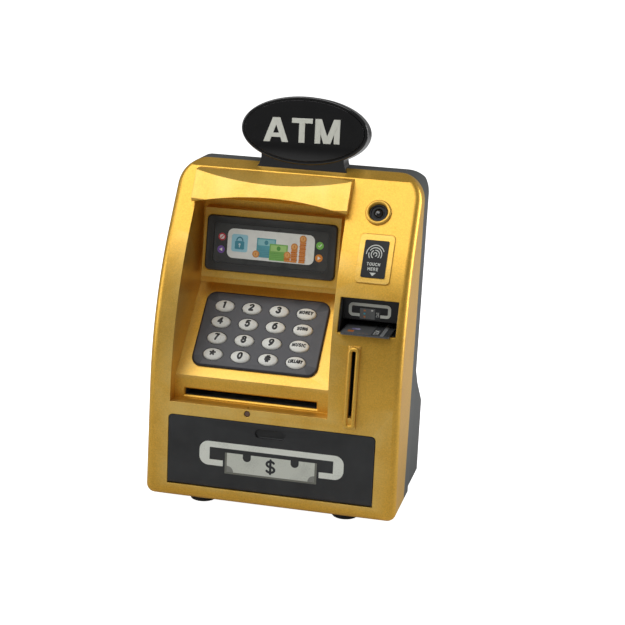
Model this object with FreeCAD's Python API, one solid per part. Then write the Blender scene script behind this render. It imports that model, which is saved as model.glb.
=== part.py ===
"""Toy cash-machine savings bank: a gold two-part case with working front panel.

Millimetres, +Z up. The working frame puts Y = 0 on the flat lower front and Z = 0 on
the floor under the feet; every part is moved back by half the depth when it is written,
so the finished origin is the centre of the footprint.
"""
import FreeCAD, Part
import math
import os

V = FreeCAD.Vector

# ---------------------------------------------------------------- driving dimensions
FOOT_HEIGHT = 3.5
TOP = 189.0                  # top of the case, where the two shells meet
HALF_BOTTOM = 71.9           # half width at the base
HALF_TOP = 69.6              # half width at the top
DEPTH = 89.0                 # flat front to the back of the battery bulge
RIM_PROUD = 2.4              # coin rim in front of the flat front, at its foot
WALL = 2.4
TOP_CORNER_R = 15.0
BOTTOM_CORNER_R = 5.0
FRONT_EDGE_R = 4.0
REAR_DEPTH, REAR_EDGE_R = 24.0, 11.0
BEND_Z = 66.5                # the front is upright up to here
BEND_R = 160.0               # then leans back on this arc
LEAN = math.radians(32.5)    # lean of the straight top stretch
FOLD_Z = 185.1               # where the front turns into the sloping roof
SEAM_Y0 = 27.4               # the seam plane between the shells: y = SEAM_Y0 + k z
SEAM_K = 0.141

BAY_FLOOR = 59.5             # the sunk bay with the screen and keypad
BAY_LEFT_LOW, BAY_LEFT_HIGH = -58.2, -56.6
BAY_RIGHT_LOW, BAY_RIGHT_HIGH = 31.6, 29.4
BAY_TOP = 170.5
BAY_BACK = 52.0
SLOT_FACE_Y = 9.0
DECK_Z0 = 72.8               # front edge of the keypad deck
DECK_TILT = math.radians(45.6)
SCREEN_TILT = math.radians(8.3)
SCREEN_X0, SCREEN_X1 = -53.8, 25.1
SCREEN_Z0, SCREEN_Z1 = 122.9, 161.9
SCREEN_Y0 = 39.3

KEY_X0, KEY_PITCH_X = -39.2, 15.9
KEY_S0, KEY_PITCH_S = 13.9, 10.5     # distance up the deck of the lowest row
KEY_NAMES = [["key_star", "key_0", "key_hash", "key_lullaby"],
             ["key_7", "key_8", "key_9", "key_music"],
             ["key_4", "key_5", "key_6", "key_song"],
             ["key_1", "key_2", "key_3", "key_money"]]
KEY_HALF_X, KEY_HALF_S = 5.6, 3.75
KEY_TRAVEL = 1.2

SLOT_X0, SLOT_X1 = -52.4, 23.2       # note slot
SLOT_Z0, SLOT_Z1 = 61.2, 65.0
SLOT_LIP = 0.8
DRIVE_Y, DRIVE_Z, DRIVE_R = 33.0, 56.7, 6.0
PRESS_Z, PRESS_R = 67.35, 4.05
SHAFT_R = 1.5
MODULE = 0.8
ROLLER_TEETH, PINION_TEETH = 24, 12
MESH_ANGLE = math.radians(20.0)      # pinion axis seen from the roller axis

CARD_X0, CARD_X1 = 35.7, 62.7
CARD_Z0, CARD_THICK = 107.55, 0.9
CARD_Y0, CARD_LEN = 1.2, 43.0
NICHE_X0, NICHE_X1 = 33.4, 65.6
NICHE_Z0, NICHE_Z1 = 107.2, 125.7

COIN_X, COIN_HALF = 44.1, 1.4
COIN_Z0, COIN_Z1 = 62.0, 98.8
LEVER_X, LEVER_Z = COIN_X - 6.2, 84.0
DOOR_HALF, DOOR_Z0, DOOR_Z1 = 58.9, 11.25, 52.3
DOOR_GAP = 0.35
DOOR_THICK = 3.0
HINGE_Y = DOOR_THICK / 2             # the door's foot is a half round about this axis
HINGE_Z = DOOR_Z0 + DOOR_GAP + DOOR_THICK / 2
HINGE_R = 0.7
LED_X, LED_Z = -13.7, 57.0

SIGN_HALF_X, SIGN_HALF_Z = 36.2, 18.9
SIGN_Z, SIGN_FACE_Y, SIGN_THICK = 208.3, 51.0, 12.0
SIGN_TILT = math.radians(8.2)

CELL_R, CELL_LEN = 7.2, 50.0
CELL_X, CELL_Z = (-26.5, 26.5), (15.2, 30.8)
CELL_Y = 78.2
COVER_HALF, COVER_Z0, COVER_Z1 = 56.5, 6.4, 40.0


# ---------------------------------------------------------------- small helpers
def box(x0, x1, y0, y1, z0, z1):
    return Part.makeBox(x1 - x0, y1 - y0, z1 - z0, V(x0, y0, z0))


def rod(r, p, direction, length):
    return Part.makeCylinder(r, length, V(*p), V(*direction))


def prism_x(points, x0, x1):
    """Closed YZ polygon carried along X."""
    pts = [V(x0, y, z) for y, z in points]
    return Part.Face(Part.makePolygon(pts + [pts[0]])).extrude(V(x1 - x0, 0, 0))


def prism_y(points, y0, y1):
    """Closed XZ polygon carried along Y."""
    pts = [V(x, y0, z) for x, z in points]
    return Part.Face(Part.makePolygon(pts + [pts[0]])).extrude(V(0, y1 - y0, 0))


def join(shapes):
    first = shapes[0]
    return first.fuse(shapes[1:]).removeSplitter() if len(shapes) > 1 else first


def slab(u0, u1, v0, v1, w0, w1, r=0.0):
    """Plate in a local frame (u right, v up the face, w out of it), corners rounded by r."""
    s = Part.makeBox(u1 - u0, v1 - v0, w1 - w0, V(u0, v0, w0))
    if r > 0:
        s = s.makeFillet(r, [e for e in s.Edges if abs(e.Vertexes[0].Z - e.Vertexes[-1].Z) > 1e-6])
    return s


def oval(cu, cv, a, b, w0, w1):
    """Stadium plate: half length a along u, half width b along v."""
    return slab(cu - a, cu + a, cv - b, cv + b, w0, w1, b - 0.01)


def to_face(shape, tilt, y, z, x=0.0):
    """Put a local shape on a face leaning back by tilt from upright, origin at (x, y, z)."""
    s = shape.copy()
    s.Placement = FreeCAD.Placement(V(x, y, z), FreeCAD.Rotation(V(1, 0, 0), 90 - math.degrees(tilt)))
    return s


def deck(shape):
    return to_face(shape, math.pi / 2 - DECK_TILT, SLOT_FACE_Y, DECK_Z0)


def screen(shape):
    return to_face(shape, SCREEN_TILT, SCREEN_Y0, SCREEN_Z0)


def seam_y(z):
    return SEAM_Y0 + SEAM_K * z


def front_y(z):
    """Depth of the outer front at height z."""
    if z <= BEND_Z:
        return 0.0
    top_of_arc = BEND_Z + BEND_R * math.sin(LEAN)
    if z <= top_of_arc:
        return BEND_R - math.sqrt(BEND_R ** 2 - (z - BEND_Z) ** 2)
    return BEND_R * (1 - math.cos(LEAN)) + (z - top_of_arc) * math.tan(LEAN)


def crossing(p, d, q, e):
    """Meeting point of two lines in the YZ plane, each a point and a direction."""
    det = d[0] * -e[1] + e[0] * d[1]
    a = ((q[0] - p[0]) * -e[1] + e[0] * (q[1] - p[1])) / det
    return p[0] + a * d[0], p[1] + a * d[1]


# ---------------------------------------------------------------- case outlines
def front_profile(inset, past_seam):
    """Side profile of the front shell, drawn in by inset and run past the seam."""
    radius = BEND_R - inset
    at = lambda angle: (BEND_R - radius * math.cos(angle), BEND_Z + radius * math.sin(angle))
    lean_dir = (math.sin(LEAN), math.cos(LEAN))
    fold = (front_y(FOLD_Z), FOLD_Z)
    roof = (seam_y(TOP) - fold[0], TOP - fold[1])
    size = math.hypot(*roof)
    roof = (roof[0] / size, roof[1] / size)
    roof_point = (fold[0] + inset * roof[1], fold[1] - inset * roof[0])
    inner_fold = crossing(at(LEAN), lean_dir, roof_point, roof)
    back_top = crossing(roof_point, roof, (SEAM_Y0 + past_seam, 0.0), (SEAM_K, 1.0))
    base = FOOT_HEIGHT + inset
    back_low = (seam_y(base) + past_seam, base)
    corners = [at(LEAN), inner_fold, back_top, back_low, (inset, base), (inset, BEND_Z)]
    pts = [V(0, *p) for p in corners]
    edges = [Part.LineSegment(a, b).toShape() for a, b in zip(pts, pts[1:])]
    edges.append(Part.Arc(pts[-1], V(0, *at(LEAN / 2)), pts[0]).toShape())
    return Part.Wire(edges)


def half_width(z):
    return HALF_BOTTOM + (HALF_TOP - HALF_BOTTOM) * (z - FOOT_HEIGHT) / (TOP - FOOT_HEIGHT)


def outline_prism(inset, y0, y1):
    """Front outline of the case, drawn in by inset, carried along Y."""
    z0, z1 = FOOT_HEIGHT + inset, TOP - inset
    s = prism_y([(-half_width(z0) + inset, z0), (half_width(z0) - inset, z0),
                 (half_width(z1) - inset, z1), (-half_width(z1) + inset, z1)], y0, y1)
    along_y = [e for e in s.Edges if abs(e.Vertexes[0].Y - e.Vertexes[-1].Y) > 1]
    s = s.makeFillet(TOP_CORNER_R - inset, [e for e in along_y if e.CenterOfMass.z > 100])
    along_y = [e for e in s.Edges if abs(e.Vertexes[0].Y - e.Vertexes[-1].Y) > 1]
    low = [e for e in along_y if e.CenterOfMass.z < FOOT_HEIGHT + 4]
    return s.makeFillet(BOTTOM_CORNER_R - inset, low)


def front_block(inset, past_seam):
    """Solid front half of the case, drawn in by inset."""
    s = Part.Face(front_profile(inset, past_seam)).extrude(V(200, 0, 0))
    s.translate(V(-100, 0, 0))
    return s.common(outline_prism(inset, -10, 120)).Solids[0]


def behind_front(offset, z0=FOOT_HEIGHT, z1=182.0):
    """Everything behind the front surface pushed back by offset."""
    steps = 24
    pts = [(front_y(z0 + (z1 - z0) * i / steps) + offset, z0 + (z1 - z0) * i / steps)
           for i in range(steps + 1)]
    return prism_x(pts + [(120, z1), (120, z0)], -100, 100)


def bay_prism(grow, y0, y1, z0=None, z1=None):
    """Bay outline, wider at the foot, grown by grow on each side."""
    z0 = BAY_FLOOR - grow if z0 is None else z0
    z1 = BAY_TOP + grow if z1 is None else z1
    run = lambda low, high, z: low + (high - low) * (z - BAY_FLOOR) / (BAY_TOP - BAY_FLOOR)
    return prism_y([(run(BAY_LEFT_LOW, BAY_LEFT_HIGH, z0) - grow, z0),
                    (run(BAY_RIGHT_LOW, BAY_RIGHT_HIGH, z0) + grow, z0),
                    (run(BAY_RIGHT_LOW, BAY_RIGHT_HIGH, z1) + grow, z1),
                    (run(BAY_LEFT_LOW, BAY_LEFT_HIGH, z1) - grow, z1)], y0, y1)


def bay_space(grow):
    """The open space of the bay: in front of the slot face, deck and back wall."""
    c, s = math.cos(DECK_TILT), math.sin(DECK_TILT)
    deck_back_z = DECK_Z0 + (BAY_BACK - SLOT_FACE_Y) * s / c
    g = grow
    side = [(-20, BAY_FLOOR - g), (SLOT_FACE_Y + g, BAY_FLOOR - g),
            (SLOT_FACE_Y + g, DECK_Z0 - g * (1 - s) / c), (BAY_BACK + g, deck_back_z - g * (1 - s) / c),
            (BAY_BACK + g, BAY_TOP + g), (-20, BAY_TOP + g)]
    return prism_x(side, -100, 100).common(bay_prism(grow, -20, 80))


# ---------------------------------------------------------------- the gold front
def make_hood():
    """Curved brow over the screen: proud at both ends, scooped above, arched at its foot."""
    fold = (front_y(FOLD_Z - 0.6), FOLD_Z - 0.6)
    foot_z = 167.3
    foot_y = front_y(foot_z) - 4.6
    chin = (foot_y - 1.2, foot_z + 2.2)
    brow = (fold[0] - 7.5, fold[1] + 0.1)
    x0, x1 = BAY_LEFT_HIGH - 1.2, BAY_RIGHT_HIGH + 1.6
    body = prism_x([fold, brow, chin, (foot_y, foot_z), (front_y(foot_z) + 2.6, foot_z),
                    (fold[0] + 1.5, fold[1] - 4)], x0, x1)
    mid, half = (x0 + x1) / 2, (x1 - x0) / 2
    plan_sag, arch_sag, scoop_sag = 1.4, 4.8, 3.7
    crease = V(mid, 35.2, 178.3)
    down = (crease - V(mid, *fold)).normalize()
    out_of_scoop = V(0, down.z, -down.y)
    scoop_r = half * half / (2 * scoop_sag)
    axis = V(mid, *fold) + out_of_scoop * scoop_r - down * 60
    body = body.cut(Part.makeCylinder(scoop_r, 160, axis, down))
    along = V(0, brow[0] - chin[0], brow[1] - chin[1]).normalize()
    plan_r = half * half / (2 * plan_sag)
    out = V(0, -along.z, along.y)
    start = V(mid, (brow[0] + chin[0]) / 2, (brow[1] + chin[1]) / 2) + out * (plan_r - plan_sag)
    body = body.cut(Part.makeCylinder(plan_r, 120, start - along * 60, along))
    arch_r = half * half / (2 * arch_sag)
    body = body.cut(rod(arch_r, (mid, -20, foot_z + arch_sag - arch_r), (0, 1, 0), 120))
    return body.Solids[0]


def ahead_of_seam():
    return prism_x([(-50, -10), (seam_y(-10), -10), (seam_y(250), 250), (-50, 250)], -100, 100)


def front_perimeter(s):
    """Edges round the front of the block: both flanks, the top corners and the base."""
    slope = (TOP - FOLD_Z) / (seam_y(TOP) - front_y(FOLD_Z))
    roof_z = lambda y: FOLD_Z + (y - front_y(FOLD_Z)) * slope
    on = lambda p: abs(p.y - front_y(p.z)) < 0.05 or abs(p.z - roof_z(p.y)) < 0.05
    picked = []
    for e in s.Edges:
        m = e.valueAt((e.FirstParameter + e.LastParameter) / 2)
        at_ends = all(on(v.Point) for v in e.Vertexes)
        if on(m) and at_ends and (abs(m.x) > 30 or m.z < FOOT_HEIGHT + 1):
            picked.append(e)
    return picked


def coin_rim():
    """Raised frame round the coin slot, prouder at its foot."""
    x0, x1 = COIN_X - 3.3, COIN_X + 3.3
    z0, z1 = 55.9, 101.0
    top_y = front_y(z1)
    s = prism_x([(-RIM_PROUD, z0), (-RIM_PROUD, BEND_Z), (top_y - 1.3, z1),
                 (top_y + 1.0, z1), (1.0, z0)], x0, x1)
    return s.makeFillet(1.0, [e for e in s.Edges if abs(e.CenterOfMass.x - COIN_X) > 3.2
                              and e.CenterOfMass.y < front_y(e.CenterOfMass.z) - 0.4
                              and e.Length > 20])


def touch_plateau():
    """Soft raised pad round the touch label."""
    pad = slab(39.6, 58.9, 134.0, 158.3, -40, 40, 2.2)
    pad.rotate(V(0, 0, 0), V(1, 0, 0), 90)
    return pad.common(behind_front(-0.9, 120, 175)).cut(behind_front(1.2, 120, 175)).Solids[0]


def lens_seat(r, w0, w1):
    z = 168.8
    disc = Part.makeCylinder(r, w1 - w0, V(0, 0, w0))
    return to_face(disc, LEAN, front_y(z), z, 47.2)


def note_slot_cut():
    """The slot with a sloping lip round its mouth."""
    lip = []
    for y, grow in ((SLOT_FACE_Y - 0.01, SLOT_LIP), (SLOT_FACE_Y + SLOT_LIP, 0.0)):
        x0, x1, z0, z1 = SLOT_X0 - grow, SLOT_X1 + grow, SLOT_Z0 - grow, SLOT_Z1 + grow
        lip.append(Part.makePolygon([V(x0, y, z0), V(x1, y, z0), V(x1, y, z1), V(x0, y, z1), V(x0, y, z0)]))
    return join([Part.makeLoft(lip, True, True), box(SLOT_X0, SLOT_X1, 4, 16, SLOT_Z0, SLOT_Z1)])


CASE_SCREWS = [(-63.6, 166.0), (63.6, 166.0), (-62.5, 69.0), (62.5, 69.0)]


def make_front_shell():
    block = front_block(0, 15)
    block = block.makeFillet(FRONT_EDGE_R, front_perimeter(block)).common(ahead_of_seam())
    block = join([block, make_hood(), touch_plateau(), lens_seat(7.2, -0.5, 1.0)])
    shell = block.cut(front_block(WALL, 12))
    post_r = 3.4
    posts = []
    for x, z in CASE_SCREWS:
        start = front_y(z + post_r) + WALL / 2
        posts.append(rod(post_r, (x, start, z), (0, 1, 0), seam_y(z) - 1.8 - start))
    shell = join([shell, coin_rim()] + posts + hinge_ears())
    shell = shell.cut(bay_prism(0, -20, 80, BAY_FLOOR, BAY_TOP - 1.5).cut(make_hood()))
    door_gap = slab(-DOOR_HALF, DOOR_HALF, DOOR_Z0, DOOR_Z1, -20, 30, 2.6)
    door_gap.rotate(V(0, 0, 0), V(1, 0, 0), 90)
    door_gap = join([door_gap, box(-DOOR_HALF, DOOR_HALF, -20, 20, DOOR_Z0, DOOR_Z0 + 6)])
    cuts = [door_gap, box(NICHE_X0, NICHE_X1, -5, 60, NICHE_Z0, NICHE_Z1),
            box(COIN_X - COIN_HALF, COIN_X + COIN_HALF, -8, 20, COIN_Z0, COIN_Z1),
            lens_seat(5.1, -12, 8), rod(1.8, (LED_X, -5, LED_Z), (0, 1, 0), 20)]
    cuts += [rod(1.25, (x, seam_y(z) - 14, z), (0, 1, 0), 30) for x, z in CASE_SCREWS]
    cuts += [rod(HINGE_R + 0.05, (x, HINGE_Y, HINGE_Z), (1, 0, 0), 5.0) for x in (-62.6, 57.6)]
    shell = shell.cut(cuts[0])
    for c in cuts[1:]:
        shell = shell.cut(c)
    cone = Part.makeCone(5.1, 6.9, 1.9, V(0, 0, -0.85))
    shell = shell.cut(to_face(cone, LEAN, front_y(168.8), 168.8, 47.2))
    shell = shell.cut(sign_tongue(0.25))
    solids = sorted(shell.Solids, key=lambda q: -q.Volume)
    return solids[0]


def make_bay_panel(front):
    """One gold moulding: bay walls, slot face, keypad deck and the screen box."""
    skin = 2.2
    inside = front_block(WALL, 12)
    tray = bay_space(skin).common(join([inside, box(-100, 100, 20, 80, 57, 175)]))
    tray = tray.common(behind_front(WALL + 0.02, 50, 182))
    box_front = prism_x([(SCREEN_Y0, SCREEN_Z0), (BAY_BACK + 1, SCREEN_Z0 - 1.2),
                         (BAY_BACK + 1, SCREEN_Z1),
                         (SCREEN_Y0 + math.tan(SCREEN_TILT) * (SCREEN_Z1 - SCREEN_Z0), SCREEN_Z1)],
                        SCREEN_X0, SCREEN_X1)
    panel = join([tray.cut(bay_space(0)), box_front])
    height = (SCREEN_Z1 - SCREEN_Z0) / math.cos(SCREEN_TILT)
    middle = (SCREEN_X0 + SCREEN_X1) / 2
    frame = slab(middle - 37.85, middle + 37.85, 4.1, height - 3.9, -2.6, 5, 2.8)
    hollow = prism_x([(SCREEN_Y0 + 4.2, SCREEN_Z0 + 2), (60, SCREEN_Z0 + 1), (60, SCREEN_Z1 - 2.2),
                      (SCREEN_Y0 + 4.2 + 5.3, SCREEN_Z1 - 2.2)], SCREEN_X0 + 2.2, SCREEN_X1 - 2.2)
    panel = panel.cut(screen(frame)).cut(hollow).cut(note_slot_cut())
    well = slab(-49.6, 19.8, 8.0, 53.6, -6, 4, 5.0)
    panel = panel.cut(deck(well))
    panel = panel.cut(make_hood()).cut(rod(2.5, (LED_X, 0, LED_Z), (0, 1, 0), 5.2))
    panel = panel.cut(front)
    return sorted(panel.Solids, key=lambda q: -q.Volume)[0]


# ---------------------------------------------------------------- rear shell
def between_seam(ahead, behind):
    """Space from ahead in front of the seam plane to behind at its back."""
    pts = [(seam_y(z) + d, z) for d, z in ((-ahead, -20), (behind, -20), (behind, 220), (-ahead, 220))]
    return prism_x(pts, -100, 100)


def rear_dish(inset, past):
    """Shallow back of the case: straight walls from the seam, then a wide rounded rim."""
    z0, z1 = FOOT_HEIGHT + inset, TOP - inset
    block = prism_y([(-half_width(z0) + inset, z0), (half_width(z0) - inset, z0),
                     (half_width(z1) - inset, z1), (-half_width(z1) + inset, z1)], -40, 160)
    block = block.common(between_seam(past, REAR_DEPTH - inset)).Solids[0]
    on_back = lambda p: abs(p.y - seam_y(p.z) - REAR_DEPTH + inset) < 1e-3
    rim = [e for e in block.Edges if all(on_back(v.Point) for v in e.Vertexes) and e.CenterOfMass.z > z0 + 1]
    return block.makeFillet(REAR_EDGE_R - inset, rim).common(outline_prism(inset, -40, 160)).Solids[0]


def rear_bulge(inset, past):
    """Deep lower back: upright at the foot, swept forward above the batteries."""
    i = inset
    base = FOOT_HEIGHT + i
    pts = [(seam_y(base) - past, base), (DEPTH - 4 - i, base), (DEPTH - i, base + 4),
           (DEPTH - i, 42.0 - i * 0.4), (85.2 - i, 47.5 - i * 0.6), (62.5 - i * 0.7, 66.5 - i * 0.7),
           (52.0 - i * 0.4, 79.0 - i * 0.8), (46.0, 93.0), (seam_y(93) - past, 93.0)]
    s = prism_x(pts, -80, 80)
    half = 70.6 - i
    plan = Part.makeBox(2 * half, 140 - i, 120, V(-half, -140 + DEPTH, 0))
    corner = [e for e in plan.Edges if abs(e.Vertexes[0].Z - e.Vertexes[-1].Z) > 1
              and e.CenterOfMass.y > DEPTH - i - 1]
    plan = plan.makeFillet(8 - i, corner)
    keel = Part.makeBox(2 * half, 200, 200, V(-half, -20, base))
    low = [e for e in keel.Edges if abs(e.Vertexes[0].Y - e.Vertexes[-1].Y) > 1 and e.CenterOfMass.z < base + 1]
    return s.common(plan).common(keel.makeFillet(BOTTOM_CORNER_R - i, low)).Solids[0]


def make_rear_shell():
    skin = 2.2
    outer = join([rear_dish(0, 0), rear_bulge(0, 0)])
    inner = join([rear_dish(skin, 6), rear_bulge(skin, 6)])
    shell = outer.cut(inner)
    shell = shell.cut(box(-COVER_HALF - 0.3, COVER_HALF + 0.3, 80, 100, COVER_Z0 - 0.3, COVER_Z1 + 0.3))
    posts = []
    for x, z in CASE_SCREWS:
        posts.append(rod(3.4, (x, seam_y(z) + 0.3, z), (0, 1, 0), 40))
    shell = join([shell] + [p.common(outer) for p in posts])
    for x, z in CASE_SCREWS:
        shell = shell.cut(rod(1.7, (x, 20, z), (0, 1, 0), 100))
        shell = shell.cut(rod(3.0, (x, seam_y(z) + 8.0, z), (0, 1, 0), 80))
    shell = shell.cut(sign_tongue(0.25))
    for row in range(-3, 4):
        for col in range(-3, 4):
            if row * row + col * col <= 10:
                shell = shell.cut(rod(1.3, (col * 5.0, 40, 140 + row * 5.0), (0, 1, 0), 60))
    shell = shell.cut(box(37.5, 50.5, 50, 100, 105.5, 112.5))
    return sorted(shell.Solids, key=lambda q: -q.Volume)[0]


# ---------------------------------------------------------------- sign on the roof
def sign(shape):
    return to_face(shape, SIGN_TILT, SIGN_FACE_Y, SIGN_Z)


def ellipse_plate(a, b, w0, w1, u=0.0, v=0.0):
    e = Part.Ellipse(V(u, v, w0), a, b)
    return Part.Face(Part.Wire([e.toShape()])).extrude(V(0, 0, w1 - w0))


def sign_tongue(grow):
    return box(-12 - grow, 12 + grow, 52 - grow, 56 + grow, 178 - grow, 191)


def make_sign_housing():
    disc = ellipse_plate(SIGN_HALF_X, SIGN_HALF_Z, -SIGN_THICK, 0)
    rims = [e for e in disc.Edges if e.Length > 50]
    disc = sign(disc.makeFillet(1.0, rims))
    waist, scallop = 23.6, 9.5
    neck = box(-28.0, 29.5, 49.3, 62.8, 186.0, 200.0)
    for way in (-1, 1):
        neck = neck.cut(rod(scallop, (way * (waist + scallop), 40, 193.0), (0, 1, 0), 40))
    recess = sign(ellipse_plate(SIGN_HALF_X - 1.9, SIGN_HALF_Z - 1.9, -2.2, 3))
    body = disc.fuse(neck).cut(roof_block()).fuse(sign_tongue(0)).cut(recess)
    return body.Solids[0]


def roof_block():
    """The case under the sign, as the space the sign's foot must leave free."""
    slope = (TOP - FOLD_Z) / (seam_y(TOP) - front_y(FOLD_Z))
    y0 = 40.0
    z0 = FOLD_Z + (y0 - front_y(FOLD_Z)) * slope
    return prism_x([(y0, z0 + 0.03), (seam_y(TOP), TOP + 0.03), (90, TOP + 0.03), (90, 170), (y0, 170)], -60, 60)


def make_sign_face():
    s = sign(ellipse_plate(SIGN_HALF_X - 2.1, SIGN_HALF_Z - 2.1, -2.15, 0.5))
    return s


# ---------------------------------------------------------------- screen
def make_screen_bezel():
    height = (SCREEN_Z1 - SCREEN_Z0) / math.cos(SCREEN_TILT)
    middle = (SCREEN_X0 + SCREEN_X1) / 2
    frame = slab(middle - 37.7, middle + 37.7, 4.25, height - 4.05, -2.55, 1.1, 2.7)
    rim = [e for e in frame.Edges if abs(e.CenterOfMass.z - 1.1) < 1e-3]
    frame = frame.makeFillet(0.8, rim)
    step = slab(middle - 33.2, middle + 33.2, 8.6, height - 8.0, 0.1, 3, 2.4)
    window = slab(middle - 31.6, middle + 31.6, 10.0, height - 9.4, -4, 3, 2.0)
    return screen(frame.cut(step).cut(window))


def make_screen_window():
    height = (SCREEN_Z1 - SCREEN_Z0) / math.cos(SCREEN_TILT)
    middle = (SCREEN_X0 + SCREEN_X1) / 2
    top = slab(middle - 33.1, middle + 33.1, 8.7, height - 8.1, 0.12, 0.6, 2.3)
    core = slab(middle - 31.5, middle + 31.5, 10.1, height - 9.5, -1.9, 0.2, 1.9)
    return screen(join([top, core]))


# ---------------------------------------------------------------- keypad
def key_places():
    for row in range(4):
        for col in range(4):
            yield KEY_NAMES[row][col], KEY_X0 + col * KEY_PITCH_X, KEY_S0 + row * KEY_PITCH_S


def make_keypad_bezel():
    plate = slab(-51.2, 21.4, 6.4, 55.0, 0.02, 1.7, 6.0)
    top = [e for e in plate.Edges if abs(e.CenterOfMass.z - 1.7) < 1e-3]
    plate = plate.makeFillet(1.1, top)
    skirt = slab(-49.4, 19.6, 8.2, 53.4, -2.6, 0.1, 4.8)
    hollow = slab(-48.4, 18.6, 9.0, 52.4, -3, -0.6, 3.4)
    s = join([plate, skirt]).cut(hollow)
    for _, u, v in key_places():
        s = s.cut(ellipse_plate(KEY_HALF_X + 0.35, KEY_HALF_S + 0.35, -4, 4, u, v))
    return deck(s)


def make_key(u, v):
    cap = ellipse_plate(KEY_HALF_X, KEY_HALF_S, -0.55, 3.2, u, v)
    top = [e for e in cap.Edges if abs(e.CenterOfMass.z - 3.2) < 1e-3 and e.Length > 5]
    cap = cap.makeFillet(0.9, top)
    flange = slab(u - KEY_HALF_X - 0.7, u + KEY_HALF_X + 0.7, v - KEY_HALF_S - 0.7, v + KEY_HALF_S + 0.7,
                  -1.05, -0.63, 1.0)
    stem = ellipse_plate(KEY_HALF_X - 1.2, KEY_HALF_S - 1.2, -1.3, -0.5, u, v)
    return deck(join([cap, flange, stem]))


def make_keypad_mat():
    """Rubber mat under the keys, with a dome under each."""
    s = [slab(-47.6, 17.8, 10.0, 51.6, -4.1, -3.1, 3.0)]
    for _, u, v in key_places():
        s.append(Part.makeCone(2.4, 1.8, 0.5, V(u, v, -3.15)))
    return deck(join(s))


def make_keypad_board():
    s = slab(-53.0, 23.2, 4.0, 57.0, -5.75, -4.15, 1.5)
    return deck(s)


# ---------------------------------------------------------------- right column
def make_camera_lens():
    z = 168.8
    barrel = Part.makeCylinder(4.95, 9.0, V(0, 0, -9.0))
    dome = Part.makeSphere(9.0, V(0, 0, -7.9)).common(Part.makeCylinder(4.5, 3, V(0, 0, -0.3)))
    barrel = barrel.cut(Part.makeCylinder(4.5, 2, V(0, 0, -0.6)))
    return to_face(join([barrel, dome.cut(Part.makeCylinder(9, 1, V(0, 0, -1.6)))]), LEAN, front_y(z), z, 47.2)


def make_touch_label():
    pad = slab(42.7, 56.0, 136.9, 155.4, -40, 40, 0.8)
    pad.rotate(V(0, 0, 0), V(1, 0, 0), 90)
    return pad.common(behind_front(-1.35, 120, 175)).cut(behind_front(-0.9, 120, 175)).Solids[0]


def make_card_reader():
    """Black throat behind the niche: upright panel with the bracket, card tunnel under it."""
    x0, x1 = NICHE_X0 + 0.8, NICHE_X1 - 0.6
    low, high = NICHE_Z0 - 2.2, NICHE_Z1 + 1.6
    shell_back = behind_front(WALL + 0.3, 100, 140)
    body = box(x0 - 1.1, x1 + 1.1, 5, 46.5, low, high).common(shell_back)
    mouth = box(x0, x1, 5, 17.0, NICHE_Z0, NICHE_Z1 - 0.2)
    tunnel = box(x0, x1, 5, 45.2, NICHE_Z0, NICHE_Z0 + 5.2)
    hollow = box(x0, x1, 19.4, 45.2, NICHE_Z0 + 7.0, NICHE_Z1 - 0.2)
    return body.cut(mouth).cut(tunnel).cut(hollow)


def make_bank_card():
    s = box(CARD_X0, CARD_X1, CARD_Y0, CARD_Y0 + CARD_LEN, CARD_Z0, CARD_Z0 + CARD_THICK)
    return s.makeFillet(2.0, [e for e in s.Edges if abs(e.Vertexes[0].Z - e.Vertexes[-1].Z) > 0.5])


def make_coin_chute():
    x0, x1 = COIN_X - COIN_HALF - 0.3, COIN_X + COIN_HALF + 0.3
    outer = box(x0 - 1.5, x1 + 1.5, 6.5, 36.0, 50.5, 101.5)
    outer = outer.common(behind_front(WALL + 0.1, 45, 120))
    lane = prism_x([(-5, COIN_Z0 - 0.4), (14, COIN_Z0 - 1.5), (24, 49), (34.8, 49), (34.8, 100), (-5, 100)], x0, x1)
    window = box(x0 - 3, x0 + 0.5, 25.8, 32.2, 70, 87)
    ears = [box(LEVER_X - 2.2, x0 - 1.4, y, y + 1.5, LEVER_Z - 2.2, LEVER_Z + 2.2) for y in (24.2, 32.3)]
    s = join([outer.cut(lane).cut(window)] + ears)
    return s.cut(rod(0.8, (LEVER_X, 20, LEVER_Z), (0, 1, 0), 20))


def make_coin_lever():
    """Small paddle across the lane: a falling coin swings it down on a pin beside the chute."""
    hub = rod(2.0, (LEVER_X, 26.2, LEVER_Z), (0, 1, 0), 5.6)
    arm = box(LEVER_X, COIN_X + 0.9, 27.2, 30.8, LEVER_Z - 0.6, LEVER_Z + 0.6)
    return join([hub, arm]).cut(rod(0.85, (LEVER_X, 20, LEVER_Z), (0, 1, 0), 20))


def make_lever_pin():
    return rod(0.8, (LEVER_X, 23.6, LEVER_Z), (0, 1, 0), 10.8)


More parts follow.
